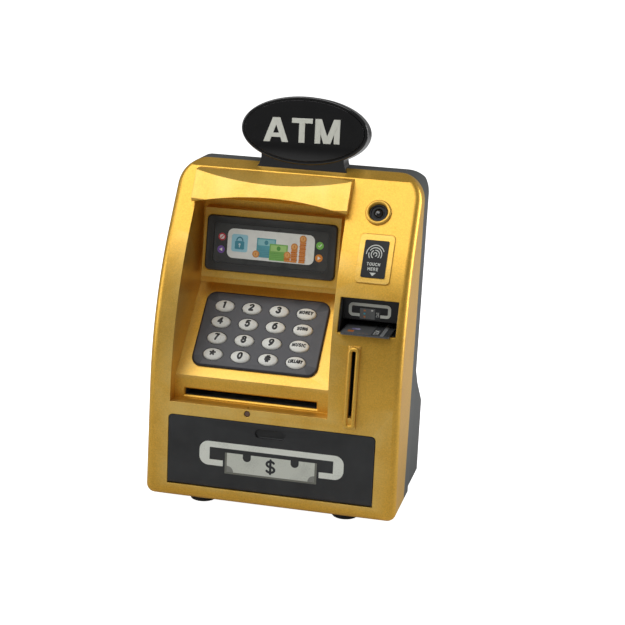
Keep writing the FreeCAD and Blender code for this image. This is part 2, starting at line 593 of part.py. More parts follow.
# ---------------------------------------------------------------- note transport
def make_note_guide():
    """Flat channel behind the slot, with cheeks that hold both roller shafts."""
    x0, x1 = SLOT_X0 - 1.2, SLOT_X1 + 1.2
    tube = box(x0, x1, 11.6, 44, SLOT_Z0 - 1.7, SLOT_Z1 + 1.5).cut(
        box(SLOT_X0, SLOT_X1, 5, 50, SLOT_Z0 - 0.2, SLOT_Z1))
    cheeks = [box(a, a + 1.8, 24, 42, 50.5, 72.5) for a in (x0 - 0.6, x1 - 1.2)]
    s = join([tube] + cheeks)
    s = s.cut(box(SLOT_X0 + 2, SLOT_X1 - 2, DRIVE_Y - 6.6, DRIVE_Y + 6.6, 40, SLOT_Z0 + 0.5))
    s = s.cut(box(SLOT_X0 + 2, SLOT_X1 - 2, DRIVE_Y - 5.2, DRIVE_Y + 5.2, SLOT_Z1 - 0.5, 80))
    for z in (DRIVE_Z, PRESS_Z):
        s = s.cut(rod(SHAFT_R + 0.05, (-80, DRIVE_Y, z), (1, 0, 0), 120))
    return s


SHAFT_X0, SHAFT_X1 = SLOT_X0 - 3.2, SLOT_X1 + 6.8


def make_drive_shaft():
    return rod(SHAFT_R, (SHAFT_X0, DRIVE_Y, DRIVE_Z), (1, 0, 0), SHAFT_X1 - SHAFT_X0)


def make_drive_tyres():
    tyres = []
    for x in (-40.0, 0.0):
        outer = rod(DRIVE_R, (x, DRIVE_Y, DRIVE_Z), (1, 0, 0), 11)
        outer = outer.makeChamfer(0.5, [e for e in outer.Edges if e.Length > 20 and len(e.Vertexes) == 1])
        tyres.append(outer.cut(rod(SHAFT_R, (x - 1, DRIVE_Y, DRIVE_Z), (1, 0, 0), 13)))
    return Part.makeCompound(tyres)


def make_press_roller():
    s = [rod(SHAFT_R, (SHAFT_X0, DRIVE_Y, PRESS_Z), (1, 0, 0), SLOT_X1 + 3.0 - SHAFT_X0)]
    s += [rod(PRESS_R, (x, DRIVE_Y, PRESS_Z), (1, 0, 0), 11) for x in (-40.0, 0.0)]
    return join(s)


def gear_profile(teeth, bore, x, width, phase):
    """Spur gear on the X axis: straight-flanked teeth on a full disc."""
    pitch_r = MODULE * teeth / 2
    root, tip = pitch_r - 1.2 * MODULE, pitch_r + 0.92 * MODULE
    step = 2 * math.pi / teeth
    pts = []
    for i in range(teeth):
        for r, share in ((root, -0.36), (tip, -0.12), (tip, 0.12), (root, 0.36)):
            a = phase + step * (i + share)
            pts.append(V(x, r * math.cos(a), r * math.sin(a)))
    s = Part.Face(Part.makePolygon(pts + [pts[0]])).extrude(V(width, 0, 0))
    return s.cut(rod(bore, (x - 1, 0, 0), (1, 0, 0), width + 2))


GEAR_X = SLOT_X1 + 3.4
MOTOR_Y = DRIVE_Y + MODULE * (ROLLER_TEETH + PINION_TEETH) / 2 * math.cos(MESH_ANGLE)
MOTOR_Z = DRIVE_Z + MODULE * (ROLLER_TEETH + PINION_TEETH) / 2 * math.sin(MESH_ANGLE)


def make_roller_gear():
    s = gear_profile(ROLLER_TEETH, SHAFT_R, GEAR_X, 2.8, MESH_ANGLE)
    s.translate(V(0, DRIVE_Y, DRIVE_Z))
    return s


def make_motor_pinion():
    half_step = math.pi / PINION_TEETH
    s = gear_profile(PINION_TEETH, 1.0, GEAR_X, 2.8, MESH_ANGLE + math.pi + half_step)
    s.translate(V(0, MOTOR_Y, MOTOR_Z))
    return s


def make_motor_shaft():
    return rod(1.0, (GEAR_X - 0.4, MOTOR_Y, MOTOR_Z), (1, 0, 0), 6.2)


MOTOR_X = GEAR_X + 5.0


def make_motor():
    can = rod(10.0, (MOTOR_X, MOTOR_Y, MOTOR_Z), (1, 0, 0), 24).common(
        box(MOTOR_X - 1, MOTOR_X + 30, MOTOR_Y - 12, MOTOR_Y + 12, MOTOR_Z - 7.6, MOTOR_Z + 7.6))
    nose = rod(3.0, (MOTOR_X - 1.0, MOTOR_Y, MOTOR_Z), (1, 0, 0), 1.5)
    bore = rod(1.05, (MOTOR_X - 2, MOTOR_Y, MOTOR_Z), (1, 0, 0), 4.0)
    return join([can, nose]).cut(bore)


def make_motor_bracket():
    """Bent plate that holds the motor's nose and bolts to the chute side."""
    plate = box(MOTOR_X - 1.0, MOTOR_X - 0.02, MOTOR_Y - 9, MOTOR_Y + 11.5, MOTOR_Z - 10.5, MOTOR_Z + 10)
    plate = plate.cut(rod(3.03, (MOTOR_X - 3, MOTOR_Y, MOTOR_Z), (1, 0, 0), 6))
    tray = box(MOTOR_X - 1.0, MOTOR_X + 22, MOTOR_Y - 9, MOTOR_Y + 11.5, MOTOR_Z - 8.7, MOTOR_Z - 7.65)
    return join([plate, tray])


# ---------------------------------------------------------------- boards, sound, light
def make_main_board():
    y = BAY_BACK + 4.2
    holes = [rod(1.6, (x, y - 2, z), (0, 1, 0), 6) for x in (-36, 36) for z in (124, 164)]
    s = box(-40, 40, y, y + 1.6, 120, 168)
    for h in holes:
        s = s.cut(h)
    return s


def make_speaker():
    """Small round speaker against the slanted back wall."""
    z = 146.0
    rim = Part.makeCylinder(19, 1.5)
    cone = Part.makeCone(18, 12, 5, V(0, 0, 1.4))
    magnet = Part.makeCylinder(8, 3.2, V(0, 0, 6.3))
    return to_face(join([rim, cone, magnet]), math.atan(SEAM_K), seam_y(z) + 21.5, z)


def make_status_led():
    s = join([rod(1.7, (LED_X, 0.3, LED_Z), (0, 1, 0), 4.4), rod(2.3, (LED_X, 2.6, LED_Z), (0, 1, 0), 1.0)])
    return s.makeFillet(0.6, [e for e in s.Edges if abs(e.CenterOfMass.y - 0.3) < 0.01])


def make_power_switch():
    y = 62.0
    return box(40.3, 43.7, y, y + 6.6, 107.4, 110.6)


def make_switch_body():
    return box(37.6, 50.4, 57.5, 61.9, 105.6, 112.4)


# ---------------------------------------------------------------- money door and its lock
def make_door():
    """Panel with a half-round foot about the hinge axis, a finger dip and a lock catch."""
    plate = slab(-DOOR_HALF + DOOR_GAP, DOOR_HALF - DOOR_GAP, DOOR_Z0 + DOOR_GAP, DOOR_Z1 - DOOR_GAP,
                 -DOOR_THICK, 0)
    plate.rotate(V(0, 0, 0), V(1, 0, 0), 90)
    corners = [e for e in plate.Edges if e.CenterOfMass.z > DOOR_Z1 - 1 and abs(e.CenterOfMass.x) > 50
               and abs(e.CenterOfMass.y - DOOR_THICK / 2) < 0.1]
    plate = plate.makeFillet(2.3, corners)
    foot = [e for e in plate.Edges if abs(e.CenterOfMass.z - DOOR_Z0 - DOOR_GAP) < 0.01 and e.Length > 50]
    plate = plate.makeFillet(DOOR_THICK / 2 - 0.02, foot)
    grip = oval(0, 46.4, 8.8, 2.6, -1.4, 2)
    grip = grip.makeFillet(0.9, [e for e in grip.Edges if abs(e.CenterOfMass.z + 1.4) < 1e-3])
    grip.rotate(V(0, 0, 0), V(1, 0, 0), 90)
    catch = box(-6, 6, DOOR_THICK - 0.2, 9.0, 48.4, 50.2).cut(box(-2.3, 2.3, 5.4, 7.6, 47, 52))
    s = join([plate.cut(grip), catch])
    for pin in make_hinge_pins().Solids:
        s = s.cut(pin)
    return s


def make_hinge_pins():
    return Part.makeCompound([rod(HINGE_R, (x, HINGE_Y, HINGE_Z), (1, 0, 0), 8.4) for x in (-62.4, 54.0)])


def hinge_ears():
    """Blocks at both ends of the doorway, which carry the hinge pins."""
    ears = []
    for x in (-64.5, DOOR_HALF + 0.1):
        ears.append(box(x, x + 5.4, 1.5, 5.0, 8.0, 18.0))
    return ears


def make_solenoid():
    body = box(-9, 9, 4.4, 15.4, 52.4, 57.0)
    return body.cut(box(-2.2, 2.2, 5.2, 7.8, 50, 56.6))


def make_latch_bolt():
    s = box(-2.0, 2.0, 5.6, 7.4, 51.2, 54.9)
    return s


# ---------------------------------------------------------------- power at the back
def make_battery_tray():
    x0, x1 = -COVER_HALF - 1.2, COVER_HALF + 1.2
    y0 = CELL_Y - CELL_R - 2.0
    outer = box(x0, x1, y0, DEPTH - 2.4, COVER_Z0 - 0.2, COVER_Z1 + 1.6)
    room = box(x0 + 2, x1 - 2, CELL_Y - CELL_R - 0.4, DEPTH, COVER_Z0 + 1.2, COVER_Z1 - 1.6)
    s = outer.cut(room)
    rib = box(-0.6, 0.6, y0, CELL_Y - 2, COVER_Z0, COVER_Z1)
    ridge = box(x0, x1, y0, CELL_Y - 5.4, 22.7, 23.3)
    lug = rod(3.2, (0, y0, COVER_Z1 - 4.2), (0, 1, 0), 14)
    s = join([s, rib, ridge, lug])
    for x in CELL_X:
        for z in CELL_Z:
            s = s.cut(rod(CELL_R + 0.15, (x - CELL_LEN / 2 - 0.9, CELL_Y, z), (1, 0, 0), CELL_LEN + 1.8))
    s = s.cut(rod(1.2, (0, y0 + 2, COVER_Z1 - 4.2), (0, 1, 0), 20))
    return sorted(s.common(rear_bulge(2.25, 10)).Solids, key=lambda q: -q.Volume)[0]


def make_batteries():
    cells = []
    for x in CELL_X:
        for i, z in enumerate(CELL_Z):
            way = 1 if i else -1
            start = x - way * CELL_LEN / 2
            can = rod(CELL_R, (start, CELL_Y, z), (way, 0, 0), CELL_LEN - 1.6)
            can = can.makeFillet(0.6, [e for e in can.Edges if e.Length > 20 and len(e.Vertexes) == 1])
            tip = rod(2.6, (start + way * (CELL_LEN - 2.0), CELL_Y, z), (way, 0, 0), 2.0)
            cells.append(join([can, tip]))
    return Part.makeCompound(cells)


def make_battery_contacts():
    plates = []
    for x in (-52.3, 51.8):
        for z in CELL_Z:
            plates.append(box(x, x + 0.5, CELL_Y - 4.5, CELL_Y + 4.5, z - 4.5, z + 4.5))
    for z in CELL_Z:
        plates.append(box(-1.1, -0.65, CELL_Y - 4.5, CELL_Y + 4.5, z - 4.5, z + 4.5))
        plates.append(box(0.65, 1.1, CELL_Y - 4.5, CELL_Y + 4.5, z - 4.5, z + 4.5))
    return Part.makeCompound(plates)


def make_battery_cover():
    s = slab(-COVER_HALF, COVER_HALF, COVER_Z0, COVER_Z1, -DEPTH, -DEPTH + 2.2, 2.0)
    s.rotate(V(0, 0, 0), V(1, 0, 0), 90)
    ribs = [box(x - 6, x + 6, DEPTH - 0.9, DEPTH + 0.0, z, z + 1.0) for x in (0,) for z in (11, 13.6, 16.2)]
    for r in ribs:
        s = s.cut(r)
    s = s.cut(rod(1.6, (0, DEPTH - 5, COVER_Z1 - 4.2), (0, 1, 0), 10))
    return s.cut(rod(2.9, (0, DEPTH - 1.1, COVER_Z1 - 4.2), (0, 1, 0), 5))


def screw(x, y, z, length, head_r, shank_r, head):
    """Pan-head screw with a cross recess; the head's underside sits at y."""
    top = rod(head_r, (x, y, z), (0, 1, 0), head)
    top = top.makeFillet(head * 0.35, [e for e in top.Edges if abs(e.CenterOfMass.y - y - head) < 1e-3])
    s = join([top, rod(shank_r, (x, y - length, z), (0, 1, 0), length + 0.2)])
    for dx, dz in ((head_r * 0.55, 0.35), (0.35, head_r * 0.55)):
        s = s.cut(box(x - dx, x + dx, y + head - 0.7, y + head + 1, z - dz, z + dz))
    return s


def make_case_screws():
    return Part.makeCompound([screw(x, seam_y(z) + 8.0, z, 17.0, 2.7, 1.25, 1.7) for x, z in CASE_SCREWS])


def make_cover_screw():
    return screw(0, DEPTH - 1.1, COVER_Z1 - 4.2, 4.5, 2.6, 1.15, 1.0)


def make_feet():
    feet = []
    for x, y in ((-41.0, 13.0), (41.5, 13.0), (-50.0, 74.0), (50.0, 74.0)):
        f = rod(7.3, (x, y, 0), (0, 0, 1), FOOT_HEIGHT)
        feet.append(f.makeFillet(0.9, [e for e in f.Edges if e.CenterOfMass.z < 0.1 and len(e.Vertexes) == 1]))
    return Part.makeCompound(feet)


# ---------------------------------------------------------------- write every part
def all_parts():
    front = make_front_shell()
    yield "front_shell", front
    yield "bay_panel", make_bay_panel(front)
    yield "rear_shell", make_rear_shell()
    yield "sign_housing", make_sign_housing()
    yield "sign_face", make_sign_face()
    yield "screen_bezel", make_screen_bezel()
    yield "screen_window", make_screen_window()
    yield "keypad_bezel", make_keypad_bezel()
    yield "keypad_mat", make_keypad_mat()
    yield "keypad_board", make_keypad_board()
    for name, u, v in key_places():
        yield name, make_key(u, v)
    yield "camera_lens", make_camera_lens()
    yield "touch_label", make_touch_label()
    yield "card_reader", make_card_reader()
    yield "bank_card", make_bank_card()
    yield "coin_chute", make_coin_chute()
    yield "coin_lever", make_coin_lever()
    yield "lever_pin", make_lever_pin()
    yield "note_guide", make_note_guide()
    yield "drive_shaft", make_drive_shaft()
    yield "drive_tyres", make_drive_tyres()
    yield "press_roller", make_press_roller()
    yield "roller_gear", make_roller_gear()
    yield "motor_pinion", make_motor_pinion()
    yield "motor_shaft", make_motor_shaft()
    yield "motor", make_motor()
    yield "motor_bracket", make_motor_bracket()
    yield "main_board", make_main_board()
    yield "speaker", make_speaker()
    yield "status_led", make_status_led()
    yield "switch_body", make_switch_body()
    yield "power_switch", make_power_switch()
    yield "door", make_door()
    yield "hinge_pins", make_hinge_pins()
    yield "solenoid", make_solenoid()
    yield "latch_bolt", make_latch_bolt()
    yield "battery_tray", make_battery_tray()
    yield "batteries", make_batteries()
    yield "battery_contacts", make_battery_contacts()
    yield "battery_cover", make_battery_cover()
    yield "cover_screw", make_cover_screw()
    yield "case_screws", make_case_screws()
    yield "feet", make_feet()


def main():
    os.makedirs("parts", exist_ok=True)
    middle = (DEPTH - RIM_PROUD) / 2
    for name, shape in all_parts():
        placed = shape.copy()
        placed.translate(V(0, -middle, 0))
        b = placed.BoundBox
        print("%-18s solids %2d valid %s  x %.1f %.1f  y %.1f %.1f  z %.1f %.1f" % (
            name, len(placed.Solids), placed.isValid(), b.XMin, b.XMax, b.YMin, b.YMax, b.ZMin, b.ZMax))
        placed.exportStep("parts/" + name + ".step")


main()
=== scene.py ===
"""Toy cash-machine savings bank: finishes, prints, small mouldings and the studio round it.

The jointed model is loaded as a fixed frame in metres. Sizes below are in millimetres in
the maker's working frame, where Y = 0 is the flat lower front; Place classes put a shape
drawn flat (u across, v up, w out of the face) on one of the object's faces.
"""
from __future__ import annotations

import logging
import math
from dataclasses import dataclass, field
from enum import Enum
from typing import Protocol

import bpy
import numpy as np
from mathutils import Matrix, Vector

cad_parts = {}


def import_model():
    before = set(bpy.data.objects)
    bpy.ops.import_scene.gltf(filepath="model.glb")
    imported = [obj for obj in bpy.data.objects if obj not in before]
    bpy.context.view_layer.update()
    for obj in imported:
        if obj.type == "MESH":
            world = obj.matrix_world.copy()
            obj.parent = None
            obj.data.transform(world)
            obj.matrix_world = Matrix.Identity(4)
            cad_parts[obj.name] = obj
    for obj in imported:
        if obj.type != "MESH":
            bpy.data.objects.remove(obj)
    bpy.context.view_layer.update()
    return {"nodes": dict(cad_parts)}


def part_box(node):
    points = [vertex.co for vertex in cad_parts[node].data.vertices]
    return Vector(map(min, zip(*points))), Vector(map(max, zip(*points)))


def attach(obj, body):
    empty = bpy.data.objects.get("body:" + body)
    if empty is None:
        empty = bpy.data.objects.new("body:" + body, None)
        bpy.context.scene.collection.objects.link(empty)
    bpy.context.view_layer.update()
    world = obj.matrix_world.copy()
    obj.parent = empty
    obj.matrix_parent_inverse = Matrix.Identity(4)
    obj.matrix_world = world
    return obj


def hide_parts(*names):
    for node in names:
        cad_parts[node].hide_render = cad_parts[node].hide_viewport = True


LOG = logging.getLogger("savings_bank")
MM = 0.001
MIDDLE = 43.3                      # the working frame's Y = 0 lies this far ahead of the origin

CAP_RINGS = 4                      # rings that round off each end of a pen stroke
STEP = 0.004                       # height between strokes that cross, mm

Array = np.ndarray


def linear(code: str, alpha: float = 1.0) -> tuple[float, float, float, float]:
    """Turn an sRGB hex colour into linear light.

    Args:
        code: six hex digits.
        alpha: fourth channel.
    Returns:
        The linear colour with its alpha.
    """
    c = np.array([int(code[i:i + 2], 16) for i in (0, 2, 4)]) / 255.0
    lin = np.where(c <= 0.04045, c / 12.92, ((c + 0.055) / 1.055) ** 2.4)
    return (float(lin[0]), float(lin[1]), float(lin[2]), alpha)


# ---------------------------------------------------------------- shapes on a grid
@dataclass
class Shape:
    """Vertices, faces and a colour for each vertex, all islands of one piece."""

    verts: Array = field(default_factory=lambda: np.zeros((0, 3)))
    faces: list[tuple[int, ...]] = field(default_factory=list)
    inks: Array = field(default_factory=lambda: np.zeros((0, 4)))

    def add(self, verts: Array, faces: list[tuple[int, ...]], ink: str = "FFFFFF") -> "Shape":
        """Append an island.

        Args:
            verts: its vertices, one row each.
            faces: its faces, indices into verts.
            ink: its sRGB colour.
        Returns:
            This shape.
        """
        base = len(self.verts)
        self.verts = np.vstack([self.verts, verts])
        self.faces += [tuple(i + base for i in f) for f in faces]
        self.inks = np.vstack([self.inks, np.tile(linear(ink), (len(verts), 1))])
        return self


def skin_rings(rings: Array) -> tuple[Array, list[tuple[int, ...]]]:
    """Close a stack of rings into a solid.

    Ring r, point a is joined to its neighbours by quads (r, a), (r, a+1), (r+1, a+1),
    (r+1, a), with a taken round the ring; the first and last rings are closed by one face.

    Args:
        rings: array of shape (rings, points, 3), anticlockwise seen from the last ring's side.
    Returns:
        Vertices and faces, faces pointing outwards.
    """
    count, points = rings.shape[:2]
    index = np.arange(count * points).reshape(count, points)
    near, ahead = index, np.roll(index, -1, axis=1)
    quads = np.stack([near[:-1], ahead[:-1], ahead[1:], near[1:]], -1).reshape(-1, 4)
    faces = [tuple(q) for q in quads.tolist()]
    faces.append(tuple(index[0, ::-1].tolist()))
    faces.append(tuple(index[-1].tolist()))
    return rings.reshape(-1, 3), faces


def plate(outline: Array, low: float, high: float) -> tuple[Array, list[tuple[int, ...]]]:
    """Flat plate: the outline at w = low and again at w = high, skinned.

    Args:
        outline: anticlockwise (u, v) points.
        low: w of the underside.
        high: w of the top.
    Returns:
        Vertices and faces.
    """
    lift = lambda w: np.column_stack([outline, np.full(len(outline), w)])
    return skin_rings(np.stack([lift(low), lift(high)]))


def round_box(u0: float, u1: float, v0: float, v1: float, r: float, steps: int = 8) -> Array:
    """Rounded rectangle: each corner is its centre plus r (cos t, sin t) over a quarter turn.

    Args:
        u0, u1, v0, v1: sides.
        r: corner radius.
        steps: points per corner.
    Returns:
        Anticlockwise outline.
    """
    t = np.linspace(0, math.pi / 2, steps)
    parts = []
    for turn, (cu, cv) in enumerate(((u1 - r, v1 - r), (u0 + r, v1 - r), (u0 + r, v0 + r), (u1 - r, v0 + r))):
        a = t + turn * math.pi / 2
        parts.append(np.column_stack([cu + r * np.cos(a), cv + r * np.sin(a)]))
    return np.vstack(parts)


def ellipse(cu: float, cv: float, a: float, b: float, steps: int = 32,
            start: float = 0.0, end: float = 2 * math.pi) -> Array:
    """Ellipse or arc: centre plus (a cos t, b sin t) for t from start towards end."""
    t = np.linspace(start, end, steps, endpoint=end - start < 2 * math.pi - 1e-6)
    return np.column_stack([cu + a * np.cos(t), cv + b * np.sin(t)])


def ribbon(path: Array, half: float) -> Array:
    """Outline of a stroke: the path moved by +half along its left normal, then back at -half.

    Args:
        path: (u, v) points of an open line.
        half: half the stroke's width.
    Returns:
        Anticlockwise outline.
    """
    run = np.gradient(path, axis=0)
    run /= np.linalg.norm(run, axis=1, keepdims=True)
    side = np.column_stack([-run[:, 1], run[:, 0]]) * half
    return np.vstack([path - side, (path + side)[::-1]])


def turned(profile: Array, steps: int = 64) -> tuple[Array, list[tuple[int, ...]]]:
    """Lathe shape: each (radius, height) of the profile swept round w as (r cos t, r sin t, h).

    Args:
        profile: points from the bottom centre outwards, up, and in to the top centre.
        steps: points round the axis.
    Returns:
        Vertices and faces of the closed solid.
    """
    t = np.linspace(0, 2 * math.pi, steps, endpoint=False)
    ring = np.stack([np.cos(t), np.sin(t), np.zeros_like(t)], -1)
    rings = profile[:, 0, None, None] * ring[None] + profile[:, 1, None, None] * np.array([0, 0, 1.0])
    return skin_rings(rings)


def stroke(path: Array, half: float, low: float, high: float) -> tuple[Array, list[tuple[int, ...]]]:
    """Raised stroke with round ends.

    At each point of the path a rectangle stands across it, from -half to +half along the
    left normal and from low to high. Beyond both ends the half width goes on as
    half sqrt(1 - (d / half)^2) at distance d.

    Args:
        path: (u, v) points of an open line.
        half: half the stroke's width.
        low: w of the underside.
        high: w of the top.
    Returns:
        Vertices and faces of the closed solid.
    """
    run = np.gradient(path, axis=0)
    run /= np.linalg.norm(run, axis=1, keepdims=True)
    reach = np.sin(np.linspace(0.3, 1.0, CAP_RINGS) * math.pi / 2) * 0.98
    before = path[0] - np.outer(reach[::-1] * half, run[0])
    after = path[-1] + np.outer(reach * half, run[-1])
    spine = np.vstack([before, path, after])
    heading = np.vstack([np.tile(run[0], (CAP_RINGS, 1)), run, np.tile(run[-1], (CAP_RINGS, 1))])
    cap = np.sqrt(1 - reach ** 2)
    wide = np.concatenate([cap[::-1], np.ones(len(path)), cap]) * half
    side = np.column_stack([-heading[:, 1], heading[:, 0]]) * wide[:, None]
    corners = [np.column_stack([spine + k * side, np.full(len(spine), w)])
               for k, w in ((1, low), (1, high), (-1, high), (-1, low))]
    return skin_rings(np.stack(corners, axis=1))


def line(x0: float, y0: float, x1: float, y1: float) -> Array:
    """Straight pen move between two points, in five equal steps."""
    return np.linspace([x0, y0], [x1, y1], 6)


def bow(cx: float, cy: float, rx: float, ry: float, start: float, end: float) -> Array:
    """Curved pen move along an ellipse between two angles in degrees."""
    return ellipse(cx, cy, rx, ry, 16, math.radians(start), math.radians(end))


def hoop(cx: float, cy: float, rx: float, ry: float) -> tuple[Array, Array]:
    """Closed oval as two curved pen moves."""
    return bow(cx, cy, rx, ry, -90, 90), bow(cx, cy, rx, ry, 90, 269)


CURL: tuple[Array, ...] = (bow(0.31, 0.75, 0.27, 0.25, 28, 270), bow(0.31, 0.25, 0.29, 0.25, 90, -152))
# Pen moves of each sign on a capital height of one, and how wide the sign is.
SIGNS: dict[str, tuple[float, tuple[Array, ...]]] = {
    "0": (0.62, hoop(0.31, 0.5, 0.28, 0.5)),
    "1": (0.42, (line(0.26, 0, 0.26, 1), line(0.26, 1, 0.10, 0.86))),
    "2": (0.62, (bow(0.31, 0.72, 0.26, 0.28, 160, -32), line(0.53, 0.57, 0.05, 0), line(0.05, 0, 0.58, 0))),
    "3": (0.62, (bow(0.29, 0.76, 0.25, 0.24, 150, -90), bow(0.29, 0.26, 0.29, 0.26, 90, -152))),
    "4": (0.66, (line(0.45, 0, 0.45, 1), line(0.45, 1, 0.02, 0.3), line(0.02, 0.3, 0.64, 0.3))),
    "5": (0.62, (line(0.55, 1, 0.15, 1), line(0.15, 1, 0.08, 0.54), bow(0.29, 0.33, 0.29, 0.33, 136, -146))),
    "6": (0.62, (*hoop(0.31, 0.32, 0.28, 0.32), bow(0.62, 0.32, 0.59, 0.7, 180, 104))),
    "7": (0.60, (line(0.04, 1, 0.58, 1), line(0.58, 1, 0.22, 0))),
    "8": (0.62, (*hoop(0.31, 0.76, 0.23, 0.24), *hoop(0.31, 0.27, 0.29, 0.27))),
    "9": (0.62, (*hoop(0.31, 0.68, 0.28, 0.32), bow(0.0, 0.68, 0.59, 0.7, 0, -76))),
    "#": (0.74, (line(0.24, 0, 0.24, 1), line(0.5, 0, 0.5, 1), line(0.02, 0.33, 0.72, 0.33),
                 line(0.02, 0.67, 0.72, 0.67))),
    "*": (0.80, tuple(line(0.4, 0.5, 0.4 + 0.38 * math.cos(t), 0.5 + 0.38 * math.sin(t))
                      for t in (math.pi / 2 + i * math.tau / 5 for i in range(5)))),
    "$": (0.62, (*CURL, line(0.31, -0.12, 0.31, 1.12))),
    "+": (0.70, (line(0.35, 0.15, 0.35, 0.85), line(0.0, 0.5, 0.7, 0.5))),
    "-": (0.70, (line(0.0, 0.5, 0.7, 0.5),)),
    "A": (0.74, (line(0.02, 0, 0.37, 1), line(0.72, 0, 0.37, 1), line(0.14, 0.3, 0.6, 0.3))),
    "B": (0.64, (line(0.06, 0, 0.06, 1), line(0.06, 1, 0.34, 1), bow(0.34, 0.76, 0.21, 0.24, 90, -90),
                 line(0.06, 0.52, 0.34, 0.52), bow(0.34, 0.26, 0.26, 0.26, 90, -90), line(0.06, 0, 0.34, 0))),
    "C": (0.70, (bow(0.38, 0.5, 0.34, 0.5, 48, 312),)),
    "E": (0.56, (line(0.06, 0, 0.06, 1), line(0.06, 1, 0.54, 1), line(0.06, 0.5, 0.48, 0.5),
                 line(0.06, 0, 0.54, 0))),
    "G": (0.74, (bow(0.38, 0.5, 0.34, 0.5, 48, 330), line(0.68, 0.2, 0.68, 0.45),
                 line(0.68, 0.45, 0.44, 0.45))),
    "H": (0.70, (line(0.06, 0, 0.06, 1), line(0.64, 0, 0.64, 1), line(0.06, 0.5, 0.64, 0.5))),
    "I": (0.14, (line(0.07, 0, 0.07, 1),)),
    "L": (0.52, (line(0.06, 0, 0.06, 1), line(0.06, 0, 0.5, 0))),
    "M": (0.84, (line(0.06, 0, 0.06, 1), line(0.78, 0, 0.78, 1), line(0.06, 1, 0.42, 0.2),
                 line(0.78, 1, 0.42, 0.2))),
    "N": (0.70, (line(0.06, 0, 0.06, 1), line(0.64, 0, 0.64, 1), line(0.06, 1, 0.64, 0))),
    "O": (0.78, hoop(0.39, 0.5, 0.35, 0.5)),
    "R": (0.66, (line(0.06, 0, 0.06, 1), line(0.06, 1, 0.34, 1), bow(0.34, 0.74, 0.24, 0.26, 90, -90),
                 line(0.06, 0.48, 0.34, 0.48), line(0.34, 0.48, 0.6, 0))),
    "S": (0.62, CURL),
    "T": (0.66, (line(0.33, 0, 0.33, 1), line(0.02, 1, 0.64, 1))),
    "U": (0.70, (line(0.06, 1, 0.06, 0.32), bow(0.35, 0.32, 0.29, 0.32, 180, 360),
                 line(0.64, 0.32, 0.64, 1))),
    "Y": (0.68, (line(0.34, 0, 0.34, 0.45), line(0.34, 0.45, 0.02, 1), line(0.34, 0.45, 0.66, 1))),
}


@dataclass(frozen=True)
class Lettering:
    """A word drawn with a round pen and printed slightly raised."""

    words: str
    height: float                  # height of a capital between stroke middles
    pen: float                     # stroke width
    width: float = 0.0             # full width between stroke middles, 0 for the natural one
    gap: float = 0.30              # space between signs, in capital heights
    slant: float = 0.0

    def write(self, shape: Shape, cu: float, cv: float, low: float, high: float, ink: str) -> Shape:
        """Add the word to a shape, centred; crossing strokes differ a little in height.

        Args:
            shape: what it is added to.
            cu, cv: centre.
            low, high: w of its underside and top.
            ink: its sRGB colour.
        Returns:
            The shape.
        """
        natural = sum(SIGNS[c][0] for c in self.words) + self.gap * (len(self.words) - 1)
        across = self.width / natural if self.width else self.height
        at, count = 0.0, 0
        for sign in self.words:
            wide, moves = SIGNS[sign]
            for move in moves:
                v = (move[:, 1] - 0.5) * self.height
                u = (move[:, 0] + at - natural / 2) * across + v * self.slant
                top = high + STEP * (count % 6)
                shape.add(*stroke(np.column_stack([cu + u, cv + v]), self.pen / 2, low, top), ink)
                count += 1
            at += wide + self.gap
        return shape


# ---------------------------------------------------------------- places on the object
class Place(Protocol):
    """A face of the object that a flat shape is laid on."""

    def put(self, p: Array) -> Array:
        """(u, v, w) to the working frame's (x, y, z)."""


@dataclass(frozen=True)
class Leaning:
    """A flat face leaning back by tilt from upright: v runs up it, w out of it."""

    y: float
    z: float
    tilt: float = 0.0
    x: float = 0.0

    def put(self, p: Array) -> Array:
        """(u, v, w) to the object's frame: x + u, then v and w turned by the tilt."""
        c, s = math.cos(self.tilt), math.sin(self.tilt)
        return np.column_stack([self.x + p[:, 0], self.y + p[:, 1] * s - p[:, 2] * c,
                                self.z + p[:, 1] * c + p[:, 2] * s])


@dataclass(frozen=True)
class Crowned:
    """A leaning elliptical face with a crown: w gains rise (1 - (u/a)^2 - (v/b)^2)."""

    base: Leaning
    a: float
    b: float
    rise: float
    cu: float = 0.0
    cv: float = 0.0

    def put(self, p: Array) -> Array:
        """Lift each point by the crown, then lay it on the leaning face."""
        far = ((p[:, 0] - self.cu) / self.a) ** 2 + ((p[:, 1] - self.cv) / self.b) ** 2
        lifted = np.column_stack([p[:, 0], p[:, 1], p[:, 2] + self.rise * (1 - np.minimum(far, 1))])
        return self.base.put(lifted)


@dataclass(frozen=True)
class CurvedFront:
    """The bent upper front: u is X, v is height, w stands out along Y from the bend."""

    bend_z: float = 66.5
    bend_r: float = 160.0
    lean: float = math.radians(32.5)

    def put(self, p: Array) -> Array:
        """Depth is R - sqrt(R^2 - (z - bend)^2) on the arc, then a straight leaning line."""
        z = p[:, 1]
        end = self.bend_z + self.bend_r * math.sin(self.lean)
        arc = self.bend_r - np.sqrt(self.bend_r ** 2 - np.clip(z - self.bend_z, 0, end - self.bend_z) ** 2)
        straight = np.maximum(z - end, 0) * math.tan(self.lean)
        return np.column_stack([p[:, 0], arc + straight - p[:, 2], z])


DECK = Leaning(9.0, 72.8, math.pi / 2 - math.radians(45.6))
SCREEN = Leaning(39.3, 122.9, math.radians(8.3))
SIGN = Leaning(51.0, 208.3, math.radians(8.2))
DOOR_FRONT = Leaning(0.0, 0.0)
READER_PANEL = Leaning(17.0, 0.0)
CARD_TOP = Leaning(1.2, 108.45, math.pi / 2)
LENS_SEAT = Leaning(CurvedFront().put(np.array([[0.0, 168.8, 0.0]]))[0, 1], 168.8, math.radians(32.5), 47.2)


